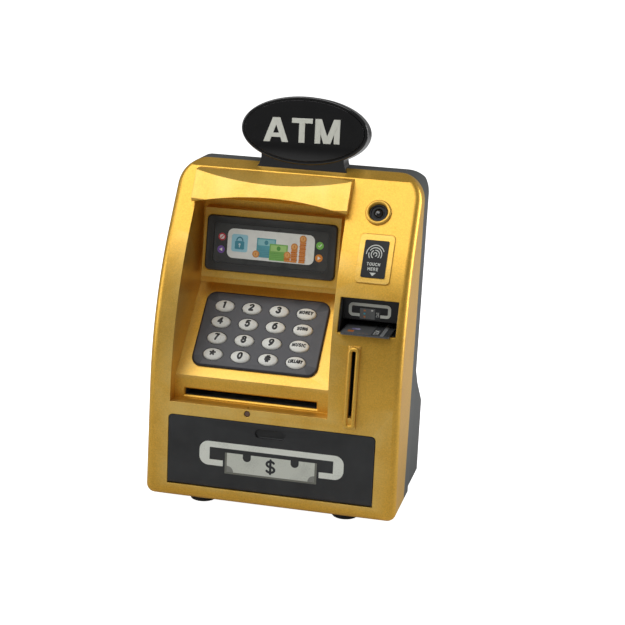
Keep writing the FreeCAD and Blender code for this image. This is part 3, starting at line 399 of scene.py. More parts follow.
# ---------------------------------------------------------------- material nodes
def add(tree: bpy.types.NodeTree, kind: str, values: dict | None = None,
        **settings: object) -> bpy.types.Node:
    """Add one node with its settings and links.

    Args:
        tree: the node tree.
        kind: node name after "ShaderNode".
        values: socket name or number to a constant or to another node's output.
        settings: the node's own properties.
    Returns:
        The node.
    """
    node = tree.nodes.new("ShaderNode" + kind)
    for name, value in settings.items():
        setattr(node, name, value)
    for key, value in (values or {}).items():
        if isinstance(value, bpy.types.NodeSocket):
            tree.links.new(value, node.inputs[key])
        else:
            node.inputs[key].default_value = value
    return node


class Texture(Enum):
    """How the surface was made, which sets its finest relief."""

    SPRAYED = "sprayed"            # orange peel of a spray coat
    ERODED = "eroded"              # spark-eroded mould texture
    POLISHED = "polished"          # polished mould
    TURNED = "turned"              # lathe or drawing lines
    CAST = "cast"                  # soft rubber skin


RELIEF: dict[Texture, tuple[float, float]] = {    # feature size and depth, mm
    Texture.SPRAYED: (0.9, 0.010),
    Texture.ERODED: (0.55, 0.030),
    Texture.POLISHED: (6.0, 0.004),
    Texture.TURNED: (0.35, 0.012),
    Texture.CAST: (0.7, 0.020),
}


@dataclass(frozen=True)
class Finish:
    """One real material: its colours, how it was made, how it has been handled, and any painted highlight
    along its edges.
    """

    name: str
    colour: str
    shade: str                     # the darker of its two mottled tones
    roughness: float
    texture: Texture
    metallic: float = 0.0
    ior: float = 1.5
    coat: float = 0.0
    coat_roughness: float = 0.08
    edge: float = 0.35             # rounding of moulded edges, mm
    edge_wear_and_highlight: str = ""               # tone along sharp edges, none if empty: handling wear, and on the gold a painted highlight
    flake: float = 0.0             # strength of pearl flakes
    smudge: float = 0.08           # how far handling changes the roughness
    transmission: float = 0.0
    inked: bool = False            # colour comes from the piece's printed inks

    def material(self) -> bpy.types.Material:
        """Build the node material.

        Returns:
            The material, its patterns on Object coordinates scaled from millimetres.
        """
        mat = bpy.data.materials.new(self.name)
        mat.use_nodes = True
        tree = mat.node_tree
        tree.nodes.clear()
        where = add(tree, "TexCoord").outputs["Object"]
        size, depth = RELIEF[self.texture]
        cloud = add(tree, "TexNoise", {"Vector": where, "Scale": 1 / (14 * MM), "Detail": 3.0})
        grain = self.grain(tree, where, size)
        base = self.base(tree, where, cloud.outputs["Fac"], grain)
        rough = add(tree, "MapRange", {"Value": cloud.outputs["Fac"], "From Min": 0.3, "From Max": 0.7,
                                       "To Min": max(0.02, self.roughness - self.smudge / 2),
                                       "To Max": self.roughness + self.smudge / 2})
        soft = add(tree, "Bevel", {"Radius": self.edge * MM}, samples=4)
        bump = add(tree, "Bump", {"Height": grain, "Distance": depth * MM, "Strength": 0.8,
                                  "Normal": soft.outputs["Normal"]})
        body = add(tree, "BsdfPrincipled", {
            "Base Color": base, "Metallic": self.metallic, "Roughness": rough.outputs["Result"],
            "IOR": self.ior, "Coat Weight": self.coat, "Coat Roughness": self.coat_roughness,
            "Transmission Weight": self.transmission, "Normal": bump.outputs["Normal"]})
        out = add(tree, "OutputMaterial")
        tree.links.new(body.outputs["BSDF"], out.inputs["Surface"])
        return mat

    def grain(self, tree: bpy.types.NodeTree, where: bpy.types.NodeSocket,
              size: float) -> bpy.types.NodeSocket:
        """The finest relief, as a height.

        Args:
            tree: the node tree.
            where: coordinates.
            size: feature size in millimetres.
        Returns:
            A height from 0 to 1.
        """
        if self.texture is Texture.TURNED:
            stretch = add(tree, "Mapping", {"Vector": where, "Scale": (0.02, 1.0, 1.0)})
            where = stretch.outputs["Vector"]
        return add(tree, "TexNoise", {"Vector": where, "Scale": 1 / (size * MM), "Detail": 2.0,
                                      "Roughness": 0.6}).outputs["Fac"]

    def base(self, tree: bpy.types.NodeTree, where: bpy.types.NodeSocket, cloud: bpy.types.NodeSocket,
             grain: bpy.types.NodeSocket) -> bpy.types.NodeSocket:
        """The colour: two mottled tones, flakes, a paler tone along sharp edges (a painted highlight on the
        gold) and any printed ink.

        Args:
            tree: the node tree.
            where: coordinates.
            cloud: soft wide pattern.
            grain: finest pattern.
        Returns:
            The colour socket.
        """
        mixed = add(tree, "Math", {0: cloud, 1: grain}, operation="ADD").outputs[0]
        tones = add(tree, "ValToRGB", {"Fac": mixed})
        for stop, at, code in zip(tones.color_ramp.elements, (0.75, 1.25), (self.shade, self.colour)):
            stop.position, stop.color = at, linear(code)
        tone = tones.outputs["Color"]
        if self.inked:
            ink = add(tree, "Attribute", attribute_name="ink").outputs["Color"]
            tone = add(tree, "Mix", {"Factor": 1.0, 6: ink, 7: tone}, data_type="RGBA",
                       blend_type="MULTIPLY").outputs[2]
        if self.flake:
            cells = add(tree, "TexVoronoi", {"Vector": where, "Scale": 1 / (0.55 * MM)})
            glint = add(tree, "MapRange", {"Value": cells.outputs["Color"], "To Min": 1 - self.flake,
                                           "To Max": 1 + self.flake}).outputs["Result"]
            tone = add(tree, "Mix", {"Factor": 1.0, 6: tone, 7: glint}, data_type="RGBA",
                       blend_type="MULTIPLY").outputs[2]
        # Paler tone along sharp edges: handling wear on most finishes, a painted highlight on the gold.
        if self.edge_wear_and_highlight:
            sharp = add(tree, "NewGeometry").outputs["Pointiness"]
            wear_and_highlight_edges = add(tree, "MapRange", {"Value": sharp, "From Min": 0.52, "From Max": 0.60,
                                          "To Max": 0.7}).outputs["Result"]
            patchy = add(tree, "Math", {0: wear_and_highlight_edges, 1: cloud}, operation="MULTIPLY").outputs[0]
            tone = add(tree, "Mix", {"Factor": patchy, 6: tone, 7: linear(self.edge_wear_and_highlight)},
                       data_type="RGBA").outputs[2]
        return tone


# Metallic-painted ABS: aluminium flake in a tinted spray coat, so it shines softly and
# brightens where it leans towards the light.
# The paler gold tone along its sharp edges is a painted highlight.
GOLD = Finish("metallic_painted_abs", "E6B447", "E0AC3F", 0.39, Texture.SPRAYED, metallic=0.72,
              edge=0.5, edge_wear_and_highlight="F6DC8C", flake=0.12, smudge=0.02, coat=0.12, coat_roughness=0.3)
# Spark-eroded black ABS: fine even texture, faint grey sheen.
CASE_BLACK = Finish("spark_eroded_abs", "464847", "414342", 0.46, Texture.ERODED, edge_wear_and_highlight="5A5D5D",
                    smudge=0.03)
# Satin black ABS of the door and reader: closed, slightly cloudy surface.
DOOR_BLACK = Finish("satin_black_abs", "151617", "131415", 0.42, Texture.ERODED, edge=0.4, edge_wear_and_highlight="3E4042",
                    smudge=0.04)
# Polished black ABS of the sign: deep gloss with soft waviness.
SIGN_BLACK = Finish("polished_black_abs", "0E0E0F", "0A0A0B", 0.10, Texture.POLISHED, coat=0.6, smudge=0.04)
# Charcoal ABS bezels, finely textured.
BEZEL = Finish("charcoal_abs", "2B2C32", "25262B", 0.42, Texture.ERODED, edge_wear_and_highlight="66666B")
# Grey ABS round the window, a little shinier than the bezels, paler where it is handled.
SCREEN_FRAME = Finish("grey_abs_frame", "343534", "2B2C2B", 0.34, Texture.ERODED, edge_wear_and_highlight="65666A")
# Acrylic window printed from behind: clear gloss over grey ink.
WINDOW = Finish("printed_acrylic", "434443", "383938", 0.12, Texture.POLISHED, ior=1.49, coat=0.5,
                smudge=0.05, edge=0.15)
# Moulded silicone keys: soft matte white, slightly warm.
SILICONE = Finish("moulded_silicone", "EDEEE8", "E2E3DC", 0.48, Texture.CAST, ior=1.41, edge=0.25)
# Black silk-screen ink on the keys.
KEY_INK = Finish("silk_screen_ink", "1B1C1E", "141517", 0.5, Texture.CAST, edge=0.05)
# Pad-printed inks of several colours, thin and slightly uneven.
PRINT = Finish("pad_printed_ink", "FFFFFF", "EDEDED", 0.42, Texture.CAST, edge=0.04, inked=True)
# Printed film under the window: flat bright inks behind a thin gloss.
SCREEN_PRINT = Finish("screen_printed_film", "FFFFFF", "F2F2F2", 0.20, Texture.POLISHED, coat=0.4,
                      edge=0.04, inked=True, smudge=0.04)
# Thick grey-white ink of the sign's letters: chalky against the gloss round it.
SIGN_LETTER = Finish("raised_grey_white_ink", "DEDFD4", "D3D4C9", 0.38, Texture.CAST, edge=0.1)
# Smoked acrylic lens: nearly black, with one hard highlight.
ACRYLIC_LENS = Finish("smoked_acrylic", "0D0D0F", "08080A", 0.06, Texture.POLISHED, ior=1.49, coat=1.0,
                      smudge=0.02, edge=0.1)
# Black barrel behind the lens: dull turned rings that hold no highlight.
LENS_BARREL = Finish("black_barrel_abs", "0D0D0F", "09090A", 0.5, Texture.TURNED, edge=0.15)
# Coated paper label: flat black, no relief of its own.
LABEL = Finish("coated_paper_label", "0D0E0F", "090A0B", 0.55, Texture.POLISHED, edge=0.1)
# Printed PVC bank card: smooth satin sheen, paler at its cut edges.
CARD = Finish("printed_pvc_card", "404143", "37383A", 0.26, Texture.POLISHED, coat=0.3, edge=0.1,
              edge_wear_and_highlight="606264")
# Tinted epoxy lamp: amber-brown, glossy, lets a little light through.
LED_RESIN = Finish("tinted_epoxy_resin", "6A4326", "52321A", 0.14, Texture.POLISHED, ior=1.54,
                   coat=0.8, transmission=0.2, edge=0.2)
# The parts inside, seen only through openings: bare grey ABS.
PLAIN_MOULDING = Finish("unpainted_abs", "5A5C5E", "505254", 0.5, Texture.ERODED)
# Acetal gears: creamy white, waxy.
ACETAL = Finish("acetal_gear_resin", "E6E3D6", "D8D4C4", 0.38, Texture.POLISHED, edge=0.1)
# Turned steel shafts and motor can: fine lines round a bright grey.
STEEL = Finish("turned_steel", "B9BCC0", "A4A7AB", 0.28, Texture.TURNED, metallic=1.0, edge=0.12)
# Zinc-plated screws: duller and slightly blue.
ZINC = Finish("zinc_plated_steel", "C2C5C6", "A9ADB0", 0.34, Texture.TURNED, metallic=1.0, edge=0.2)
# Nickel-plated contact springs: warm and bright.
NICKEL = Finish("nickel_plated_spring_steel", "D8D6CC", "C4C2B8", 0.2, Texture.TURNED, metallic=1.0,
                edge=0.05)
# Rubber feet: soft black that barely shines.
RUBBER = Finish("moulded_rubber", "2A2A2B", "212122", 0.72, Texture.CAST, edge=0.3)
# Roller tyres, ground to size: the dullest surface here.
TYRE = Finish("ground_rubber", "232324", "1A1A1B", 0.8, Texture.CAST, edge=0.1)
# Key mat: grey silicone with a dusty skin.
MAT = Finish("conductive_silicone", "6A6D70", "5E6164", 0.6, Texture.CAST)
# Circuit board: green lacquer over woven glass.
BOARD = Finish("glass_epoxy_board", "1F6B3A", "18552E", 0.3, Texture.ERODED, coat=0.3, edge=0.05)
# Loudspeaker cone: dark pressed paper.
CONE = Finish("pressed_paper_cone", "2B2A29", "201F1E", 0.7, Texture.CAST, edge=0.2)
# Battery cells: shiny blue shrink wrap.
JACKET = Finish("shrink_wrapped_cell", "2A4F9A", "234384", 0.24, Texture.POLISHED, coat=0.3, edge=0.1)


class Wardrobe:
    """Makes each finish once and hands out its material."""

    def __init__(self) -> None:
        """Start with nothing made."""
        self.made: dict[str, bpy.types.Material] = {}

    def of(self, finish: Finish) -> bpy.types.Material:
        """The finish's material, made the first time it is asked for."""
        if finish.name not in self.made:
            self.made[finish.name] = finish.material()
        return self.made[finish.name]

    def dress(self, nodes: dict[str, bpy.types.Object], names: list[str], finish: Finish) -> None:
        """Give CAD nodes a finish.

        Args:
            nodes: the frame's nodes.
            names: which of them.
            finish: what they are made of.
        """
        for name in names:
            slots = nodes[name].material_slots
            for slot in slots:
                slot.material = self.of(finish)
            LOG.info("dressed %s in %s", name, finish.name)


@dataclass
class Maker:
    """Turns shapes into finished pieces that ride on the frame."""

    wardrobe: Wardrobe

    def piece(self, name: str, body: str, shape: Shape, place: Place, finish: Finish,
              smooth: float = 35.0, replaced: tuple[str, ...] = ()) -> bpy.types.Object:
        """Build one piece.

        Args:
            name: its name.
            body: the CAD body it rides on.
            shape: its islands in (u, v, w).
            place: the face it lies on.
            finish: what it is made of.
            smooth: edges flatter than this many degrees are smoothed.
            replaced: CAD nodes it stands for.
        Returns:
            The object, at the origin.
        """
        at = place.put(shape.verts)
        at[:, 1] -= MIDDLE
        mesh = bpy.data.meshes.new(name)
        mesh.from_pydata((at * MM).tolist(), [], shape.faces)
        ink = mesh.color_attributes.new("ink", "FLOAT_COLOR", "POINT")
        ink.data.foreach_set("color", shape.inks.astype(np.float32).ravel())
        mesh.polygons.foreach_set("use_smooth", np.ones(len(mesh.polygons), bool))
        mesh.update()
        mesh.set_sharp_from_angle(angle=math.radians(smooth))
        mesh.materials.append(self.wardrobe.of(finish))
        obj = bpy.data.objects.new(name, mesh)
        bpy.context.scene.collection.objects.link(obj)
        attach(obj, body)
        if replaced:
            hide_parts(*replaced)
        LOG.info("made %s: %d faces, rides on %s", name, len(mesh.polygons), body)
        return obj


# ---------------------------------------------------------------- sub-assemblies
@dataclass
class RoofSign:
    """The oval sign: a polished crowned face with three raised letters."""

    half_x: float = 34.1
    half_z: float = 16.8
    rise: float = 1.5
    seat: float = -2.1                  # depth of the recess that the face sits in
    letter_low: float = -6.7
    letter_high: float = 6.8
    letter_foot: float = 0.3            # underside and top of the letters, out from the face
    letter_top: float = 0.95
    stroke: float = 3.3
    turn: float = math.radians(1.7)     # the letters sit slightly askew

    def face(self) -> Shape:
        """Crown over an ellipse.

        Ring r of the grid is the ellipse scaled by s, from 0 at the middle to 1 at the rim;
        a rounded shoulder drops the last ring to the recess.
        """
        t = np.linspace(0, 2 * math.pi, 96, endpoint=False)
        s = np.concatenate([[1.0, 1.0], np.linspace(0.995, 0.02, 16)])
        w = np.concatenate([[self.seat, 0.2], np.full(16, 0.55)])
        rings = np.stack([np.column_stack([self.half_x * k * np.cos(t), self.half_z * k * np.sin(t),
                                           np.full_like(t, h)]) for k, h in zip(s, w)])
        return Shape().add(*skin_rings(rings))

    def letters(self) -> Shape:
        """Strokes of the three capitals as slanted bars, each a four-cornered plate."""
        lo, hi, st = self.letter_low, self.letter_high, self.stroke
        shape = Shape()

        def bar(u0: float, v0: float, u1: float, v1: float, wide: float) -> None:
            """One stroke from a low point to a high point, cut off level, as a fine grid of quads."""
            v = np.linspace(v0, v1, 12)
            u = u0 + (u1 - u0) * (v - v0) / (v1 - v0)
            right, left = np.column_stack([u + wide / 2, v]), np.column_stack([u - wide / 2, v])
            outline = np.vstack([right, left[::-1]])
            shape.add(*plate(outline, self.letter_foot, self.letter_top))

        def beam(u0: float, u1: float, v0: float, v1: float) -> None:
            """One level stroke, divided across so that it follows the crown."""
            u = np.linspace(u0, u1, 12)
            low, high = np.column_stack([u, np.full(12, v0)]), np.column_stack([u, np.full(12, v1)])
            outline = np.vstack([low, high[::-1]])
            shape.add(*plate(outline, self.letter_foot, self.letter_top))

        a_mid, a_half = -15.6, 7.2
        bar(a_mid - a_half + st * 0.55, lo, a_mid - 0.3, hi, st * 1.1)
        bar(a_mid + a_half - st * 0.55, lo, a_mid + 0.3, hi, st * 1.1)
        beam(a_mid - 3.6, a_mid + 3.6, lo + 2.6, lo + 5.0)
        t_mid = -0.8
        beam(t_mid - 5.9, t_mid + 5.9, hi - 2.7, hi)
        bar(t_mid, lo, t_mid, hi - 1.0, st)
        m_mid, m_half = 13.6, 7.0
        bar(m_mid - m_half + st * 0.48, lo, m_mid - m_half + st * 0.48, hi, st * 0.96)
        bar(m_mid + m_half - st * 0.48, lo, m_mid + m_half - st * 0.48, hi, st * 0.96)
        bar(m_mid - 0.2, lo, m_mid - m_half + st * 0.55, hi, st * 1.05)
        bar(m_mid + 0.2, lo, m_mid + m_half - st * 0.55, hi, st * 1.05)
        c, s = math.cos(self.turn), math.sin(self.turn)
        shape.verts[:, :2] = shape.verts[:, :2] @ np.array([[c, s], [-s, c]])
        return shape

    def build(self, maker: Maker) -> None:
        """Make the face and its letters."""
        crown = Crowned(SIGN, self.half_x, self.half_z, self.rise)
        maker.piece("sign_crown", "case", self.face(), crown, SIGN_BLACK, 40, ("sign_face",))
        maker.piece("sign_letters", "case", self.letters(), crown, SIGN_LETTER, 20)


@dataclass
class Keys:
    """Sixteen crowned oval keys with their printed labels."""

    first_u: float = -39.2
    pitch_u: float = 15.9
    first_v: float = 13.9
    pitch_v: float = 10.5
    half_u: float = 5.6
    half_v: float = 3.75
    flange: float = 0.65           # how far the foot flange stands out all round
    flange_low: float = -1.05
    flange_high: float = -0.63
    round_r: float = 0.75          # rounding of the top edge
    shoulder: float = 2.35
    rise: float = 1.15
    labels: tuple = (("star", "*"), ("0", "0"), ("hash", "#"), ("lullaby", "LULLABY"),
                     ("7", "7"), ("8", "8"), ("9", "9"), ("music", "MUSIC"),
                     ("4", "4"), ("5", "5"), ("6", "6"), ("song", "SONG"),
                     ("1", "1"), ("2", "2"), ("3", "3"), ("money", "MONEY"))

    def cap(self, cu: float, cv: float) -> Shape:
        """One key cap with its flange.

        Ring r is the key's ellipse scaled by s at height w: flange, upright side, then a
        rounded shoulder w = h + q sin t, s = 1 - q' (1 - cos t) that runs into the crown.
        """
        t = np.linspace(0, 2 * math.pi, 48, endpoint=False)
        turn = np.linspace(0, math.pi / 2, 6)
        q, rim = self.round_r, self.flange
        foot = np.array([0.3, rim, rim, 0.0, 0.0])
        inward = q * (1 - np.cos(turn))
        a = np.concatenate([self.half_u + foot, self.half_u - inward, np.linspace(self.half_u - 1.0, 0.1, 8)])
        b = np.concatenate([self.half_v + foot, self.half_v - inward,
                            np.linspace(self.half_v - 0.95, 0.06, 8)])
        sides = [self.flange_low, self.flange_low, self.flange_high, self.flange_high, 0.0]
        w = np.concatenate([sides, self.shoulder - q + q * np.sin(turn), np.full(8, self.shoulder)])
        rings = np.stack([np.column_stack([cu + i * np.cos(t), cv + j * np.sin(t), np.full_like(t, h)])
                          for i, j, h in zip(a, b, w)])
        return Shape().add(*skin_rings(rings))

    def build(self, maker: Maker) -> None:
        """Make every key and its label."""
        for i, (key, words) in enumerate(self.labels):
            cu = self.first_u + (i % 4) * self.pitch_u
            cv = self.first_v + (i // 4) * self.pitch_v
            body = "key_" + key
            crown = Crowned(DECK, self.half_u, self.half_v, self.rise, cu, cv)
            top = CapCrown(crown, self.shoulder)
            maker.piece("cap_" + key, body, self.cap(cu, cv), top, SILICONE, 40, (body,))
            if len(words) == 1:
                style = Lettering(words, 3.5, 1.15, slant=0.12)
            else:
                style = Lettering(words, 1.75, 0.58, 5.8 if key == "song" else 7.6, 0.36, 0.1)
            text = style.write(Shape(), cu, cv + 0.15, self.shoulder - 0.1, self.shoulder + 0.05, "FFFFFF")
            maker.piece("label_" + key, body, text, crown, KEY_INK, 20)


@dataclass(frozen=True)
class CapCrown:
    """A key's own crown, which only its top takes, fading in above the deck."""

    crown: Crowned
    shoulder: float

    def put(self, p: Array) -> Array:
        """Crown scaled by the clamped height share w / shoulder, cubed."""
        share = np.clip(p[:, 2] / self.shoulder, 0, 1) ** 3
        crown = self.crown
        far = ((p[:, 0] - crown.cu) / crown.a) ** 2 + ((p[:, 1] - crown.cv) / crown.b) ** 2
        rise = crown.rise * (1 - np.minimum(far, 1)) * share
        return crown.base.put(np.column_stack([p[:, 0], p[:, 1], p[:, 2] + rise]))


@dataclass
class ScreenPictures:
    """The printed window: a pale panel with a padlock, notes and coin stacks, and four buttons."""

    glass: float = 0.6             # w of the window's surface
    layer: float = 0.04

    def build(self, maker: Maker) -> None:
        """Make the printed film as one piece."""
        art = Shape()
        self.panel(art)
        self.buttons(art)
        self.padlock(art, -32.4, 20.6)
        self.note(art, -16.9, 19.1, 11.0, 10.9, ("5FA3AE", "8FC4C8", "4E8D9A"), 2)
        self.note(art, -9.6, 17.2, 10.5, 9.3, ("7DB35F", "A9D07F", "5E9A4C"), 5)
        self.coin(art, -22.6, 15.3, 2.05, 3)
        for u, tall, level in ((-4.4, 3.2, 8), (-0.6, 8.2, 9), (4.1, 13.0, 10)):
            self.stack(art, u, 12.4, tall, level)
        maker.piece("screen_pictures", "case", art, SCREEN, SCREEN_PRINT, 20)

    def lay(self, art: Shape, outline: Array, ink: str, level: int) -> None:
        """Print one flat shape; a higher level lies over a lower one."""
        art.add(*plate(outline, self.glass - 0.05, self.glass + self.layer * level * 0.5 + 0.02), ink)

    def panel(self, art: Shape) -> None:
        """The pale lit area."""
        self.lay(art, round_box(-39.5, 10.9, 11.9, 28.6, 3.4), "E6E8E2", 1)

    def buttons(self, art: Shape) -> None:
        """Four round buttons with simple signs, two on each side."""
        red, violet, green, orange = "C4454E", "7A5BA6", "7CC05A", "D98A3D"
        for u, v, ink in ((-42.8, 23.4, red), (-43.0, 16.2, violet),
                          (13.9, 23.2, green), (13.8, 16.2, orange)):
            self.lay(art, ellipse(u, v, 2.15, 2.15), ink, 1)
            if ink == red:
                self.lay(art, ellipse(u, v, 1.35, 1.35), "E9DCD8", 2)
                self.lay(art, ribbon(np.array([[u - 0.8, v - 0.8], [u + 0.8, v + 0.8]]), 0.24), ink, 3)
            elif ink == green:
                tick = np.array([[u - 0.9, v], [u - 0.2, v - 0.7], [u + 0.95, v + 0.8]])
                self.lay(art, ribbon(tick, 0.22), "E8F2DD", 2)
            else:
                way = -1 if ink == violet else 1
                back = u - way * 0.7
                tip = np.array([[u + way * 1.1, v], [back, v + way * 1.0], [back, v - way * 1.0]])
                self.lay(art, tip, "F1EEE6", 2)

    def padlock(self, art: Shape, u: float, v: float) -> None:
        """A padlock on a rounded blue square."""
        self.lay(art, round_box(u - 4.7, u + 4.7, v - 4.95, v + 4.95, 1.3), "9CCFDD", 2)
        self.lay(art, ribbon(ellipse(u, v + 1.3, 1.75, 2.0, 18, 0.0, math.pi), 0.36), "3F7F93", 3)
        self.lay(art, round_box(u - 2.7, u + 2.7, v - 3.5, v + 1.2, 0.7), "4E93A5", 4)
        self.lay(art, ellipse(u, v - 0.7, 0.62, 0.62, 16), "CFE6EA", 5)
        self.lay(art, round_box(u - 0.27, u + 0.27, v - 2.4, v - 0.7, 0.1), "CFE6EA", 5)

    def note(self, art: Shape, u: float, v: float, wide: float, tall: float,
             inks: tuple[str, str, str], level: int) -> None:
        """A bundle of notes: a pale top note with a disc, ruled edges under it."""
        left, right, low, high = u - wide / 2, u + wide / 2, v - tall / 2, v + tall / 2
        self.lay(art, round_box(left, right, low, high, 0.3), inks[0], level)
        top = high - 0.7
        self.lay(art, round_box(left + 0.7, right - 0.7, top - 3.4, top, 0.3), inks[1], level + 1)
        self.lay(art, ellipse(u, top - 1.7, 1.15, 1.3, 20), inks[2], level + 2)
        for i in range(4):
            rule = low + 0.8 + i * 1.05
            self.lay(art, round_box(left + 0.4, right - 0.4, rule, rule + 0.2, 0.05), inks[2], level + 1)

    def coin(self, art: Shape, u: float, v: float, r: float, level: int) -> None:
        """A coin with a lighter rim and a small mark."""
        self.lay(art, ellipse(u, v, r, r), "D08A45", level)
        self.lay(art, ellipse(u, v, r * 0.72, r * 0.72), "E3A765", level + 1)
        self.lay(art, round_box(u - 0.16, u + 0.16, v - 0.7, v + 0.7, 0.05), "B9702F", level + 2)

    def stack(self, art: Shape, u: float, v: float, tall: float, level: int) -> None:
        """A stack of coins seen from the side with one standing on top."""
        count = max(2, round(tall / 1.05))
        for i in range(count):
            low = v + i * tall / count
            mid = u + 0.14 * math.sin(2.4 * i + u)
            side = round_box(mid - 1.8, mid + 1.8, low + 0.06, low + tall / count, 0.35, 4)
            self.lay(art, side, "C9793B" if i % 2 else "D58A4A", level)
        self.coin(art, u, v + tall + 0.7, 1.95, level + 1)


@dataclass
class DoorPrint:
    """White frame with a banknote coming out of it, printed on the money door."""

    u0: float = -40.3
    u1: float = 42.0
    v0: float = 24.9
    v1: float = 38.9
    bar: float = 3.4
    cheek: float = 5.9

    def build(self, maker: Maker) -> None:
        """Make the print as one thin piece riding on the door."""
        art = Shape()
        white = "E6E9DF"
        gap0, gap1 = -26.6, 28.2
        for way in (0, 1):
            art.add(*plate(self.half_frame(way, gap0 if way == 0 else gap1), -0.05, 0.05), white)
        note0, note1, foot, top = -25.5, 27.0, 20.9, 33.2
        art.add(*plate(round_box(note0, note1, foot, top, 0.2, 3), -0.05, 0.05), "77786F")
        art.add(*plate(round_box(note0 + 1.2, note1 - 1.2, foot + 1.1, top, 0.15, 3), -0.05, 0.08), "D2D5CA")
        for way, u in ((1, note0 + 1.2), (-1, note1 - 1.2)):
            start = 0.0 if way == 1 else math.pi / 2
            arc = ellipse(u, foot + 1.1, 3.8, 3.6, 12, start, start + math.pi / 2)
            art.add(*plate(np.vstack([arc, [[u, foot + 1.1]]]), -0.05, 0.1), "8B8C85")
        for u in (-12.9, 14.4):
            neck = np.array([[u + 2.3, top + 0.02], [u - 2.3, top + 0.02]])
            bowl = ellipse(u, top - 1.9, 2.3, 2.2, 16, math.pi, 2 * math.pi)
            art.add(*plate(np.vstack([neck, bowl]), -0.05, 0.1), "2A2C2D")
        Lettering("$", 6.4, 1.35, 4.9).write(art, 0.7, foot + 6.9, -0.05, 0.12, "26282A")
        maker.piece("door_print", "door", art, DOOR_FRONT, PRINT, 20)

    def half_frame(self, side: int, gap: float) -> Array:
        """Half of the frame: rounded outside, square inside, cut off at the note.

        Args:
            side: 0 for the left half, 1 for the right.
            gap: X at which its lower bar ends.
        Returns:
            Anticlockwise outline.
        """
        r, mid = 5.2, (self.u0 + self.u1) / 2
        t = np.linspace(0, math.pi / 2, 10)
        inner_low, inner_high = self.v0 + self.bar, self.v1 - self.bar
        top = np.column_stack([self.u0 + r - r * np.sin(t), self.v1 - r + r * np.cos(t)])
        low = np.column_stack([self.u0 + r - r * np.cos(t), self.v0 + r - r * np.sin(t)])
        end = gap if side == 0 else 2 * mid - gap
        outline = np.vstack([[[mid, self.v1]], top, low, [[end, self.v0], [end, inner_low],
                             [self.u0 + self.cheek, inner_low], [self.u0 + self.cheek, inner_high],
                             [mid, inner_high]]])
        if side == 1:
            outline = outline[::-1].copy()
            outline[:, 0] = 2 * mid - outline[:, 0]
        return outline


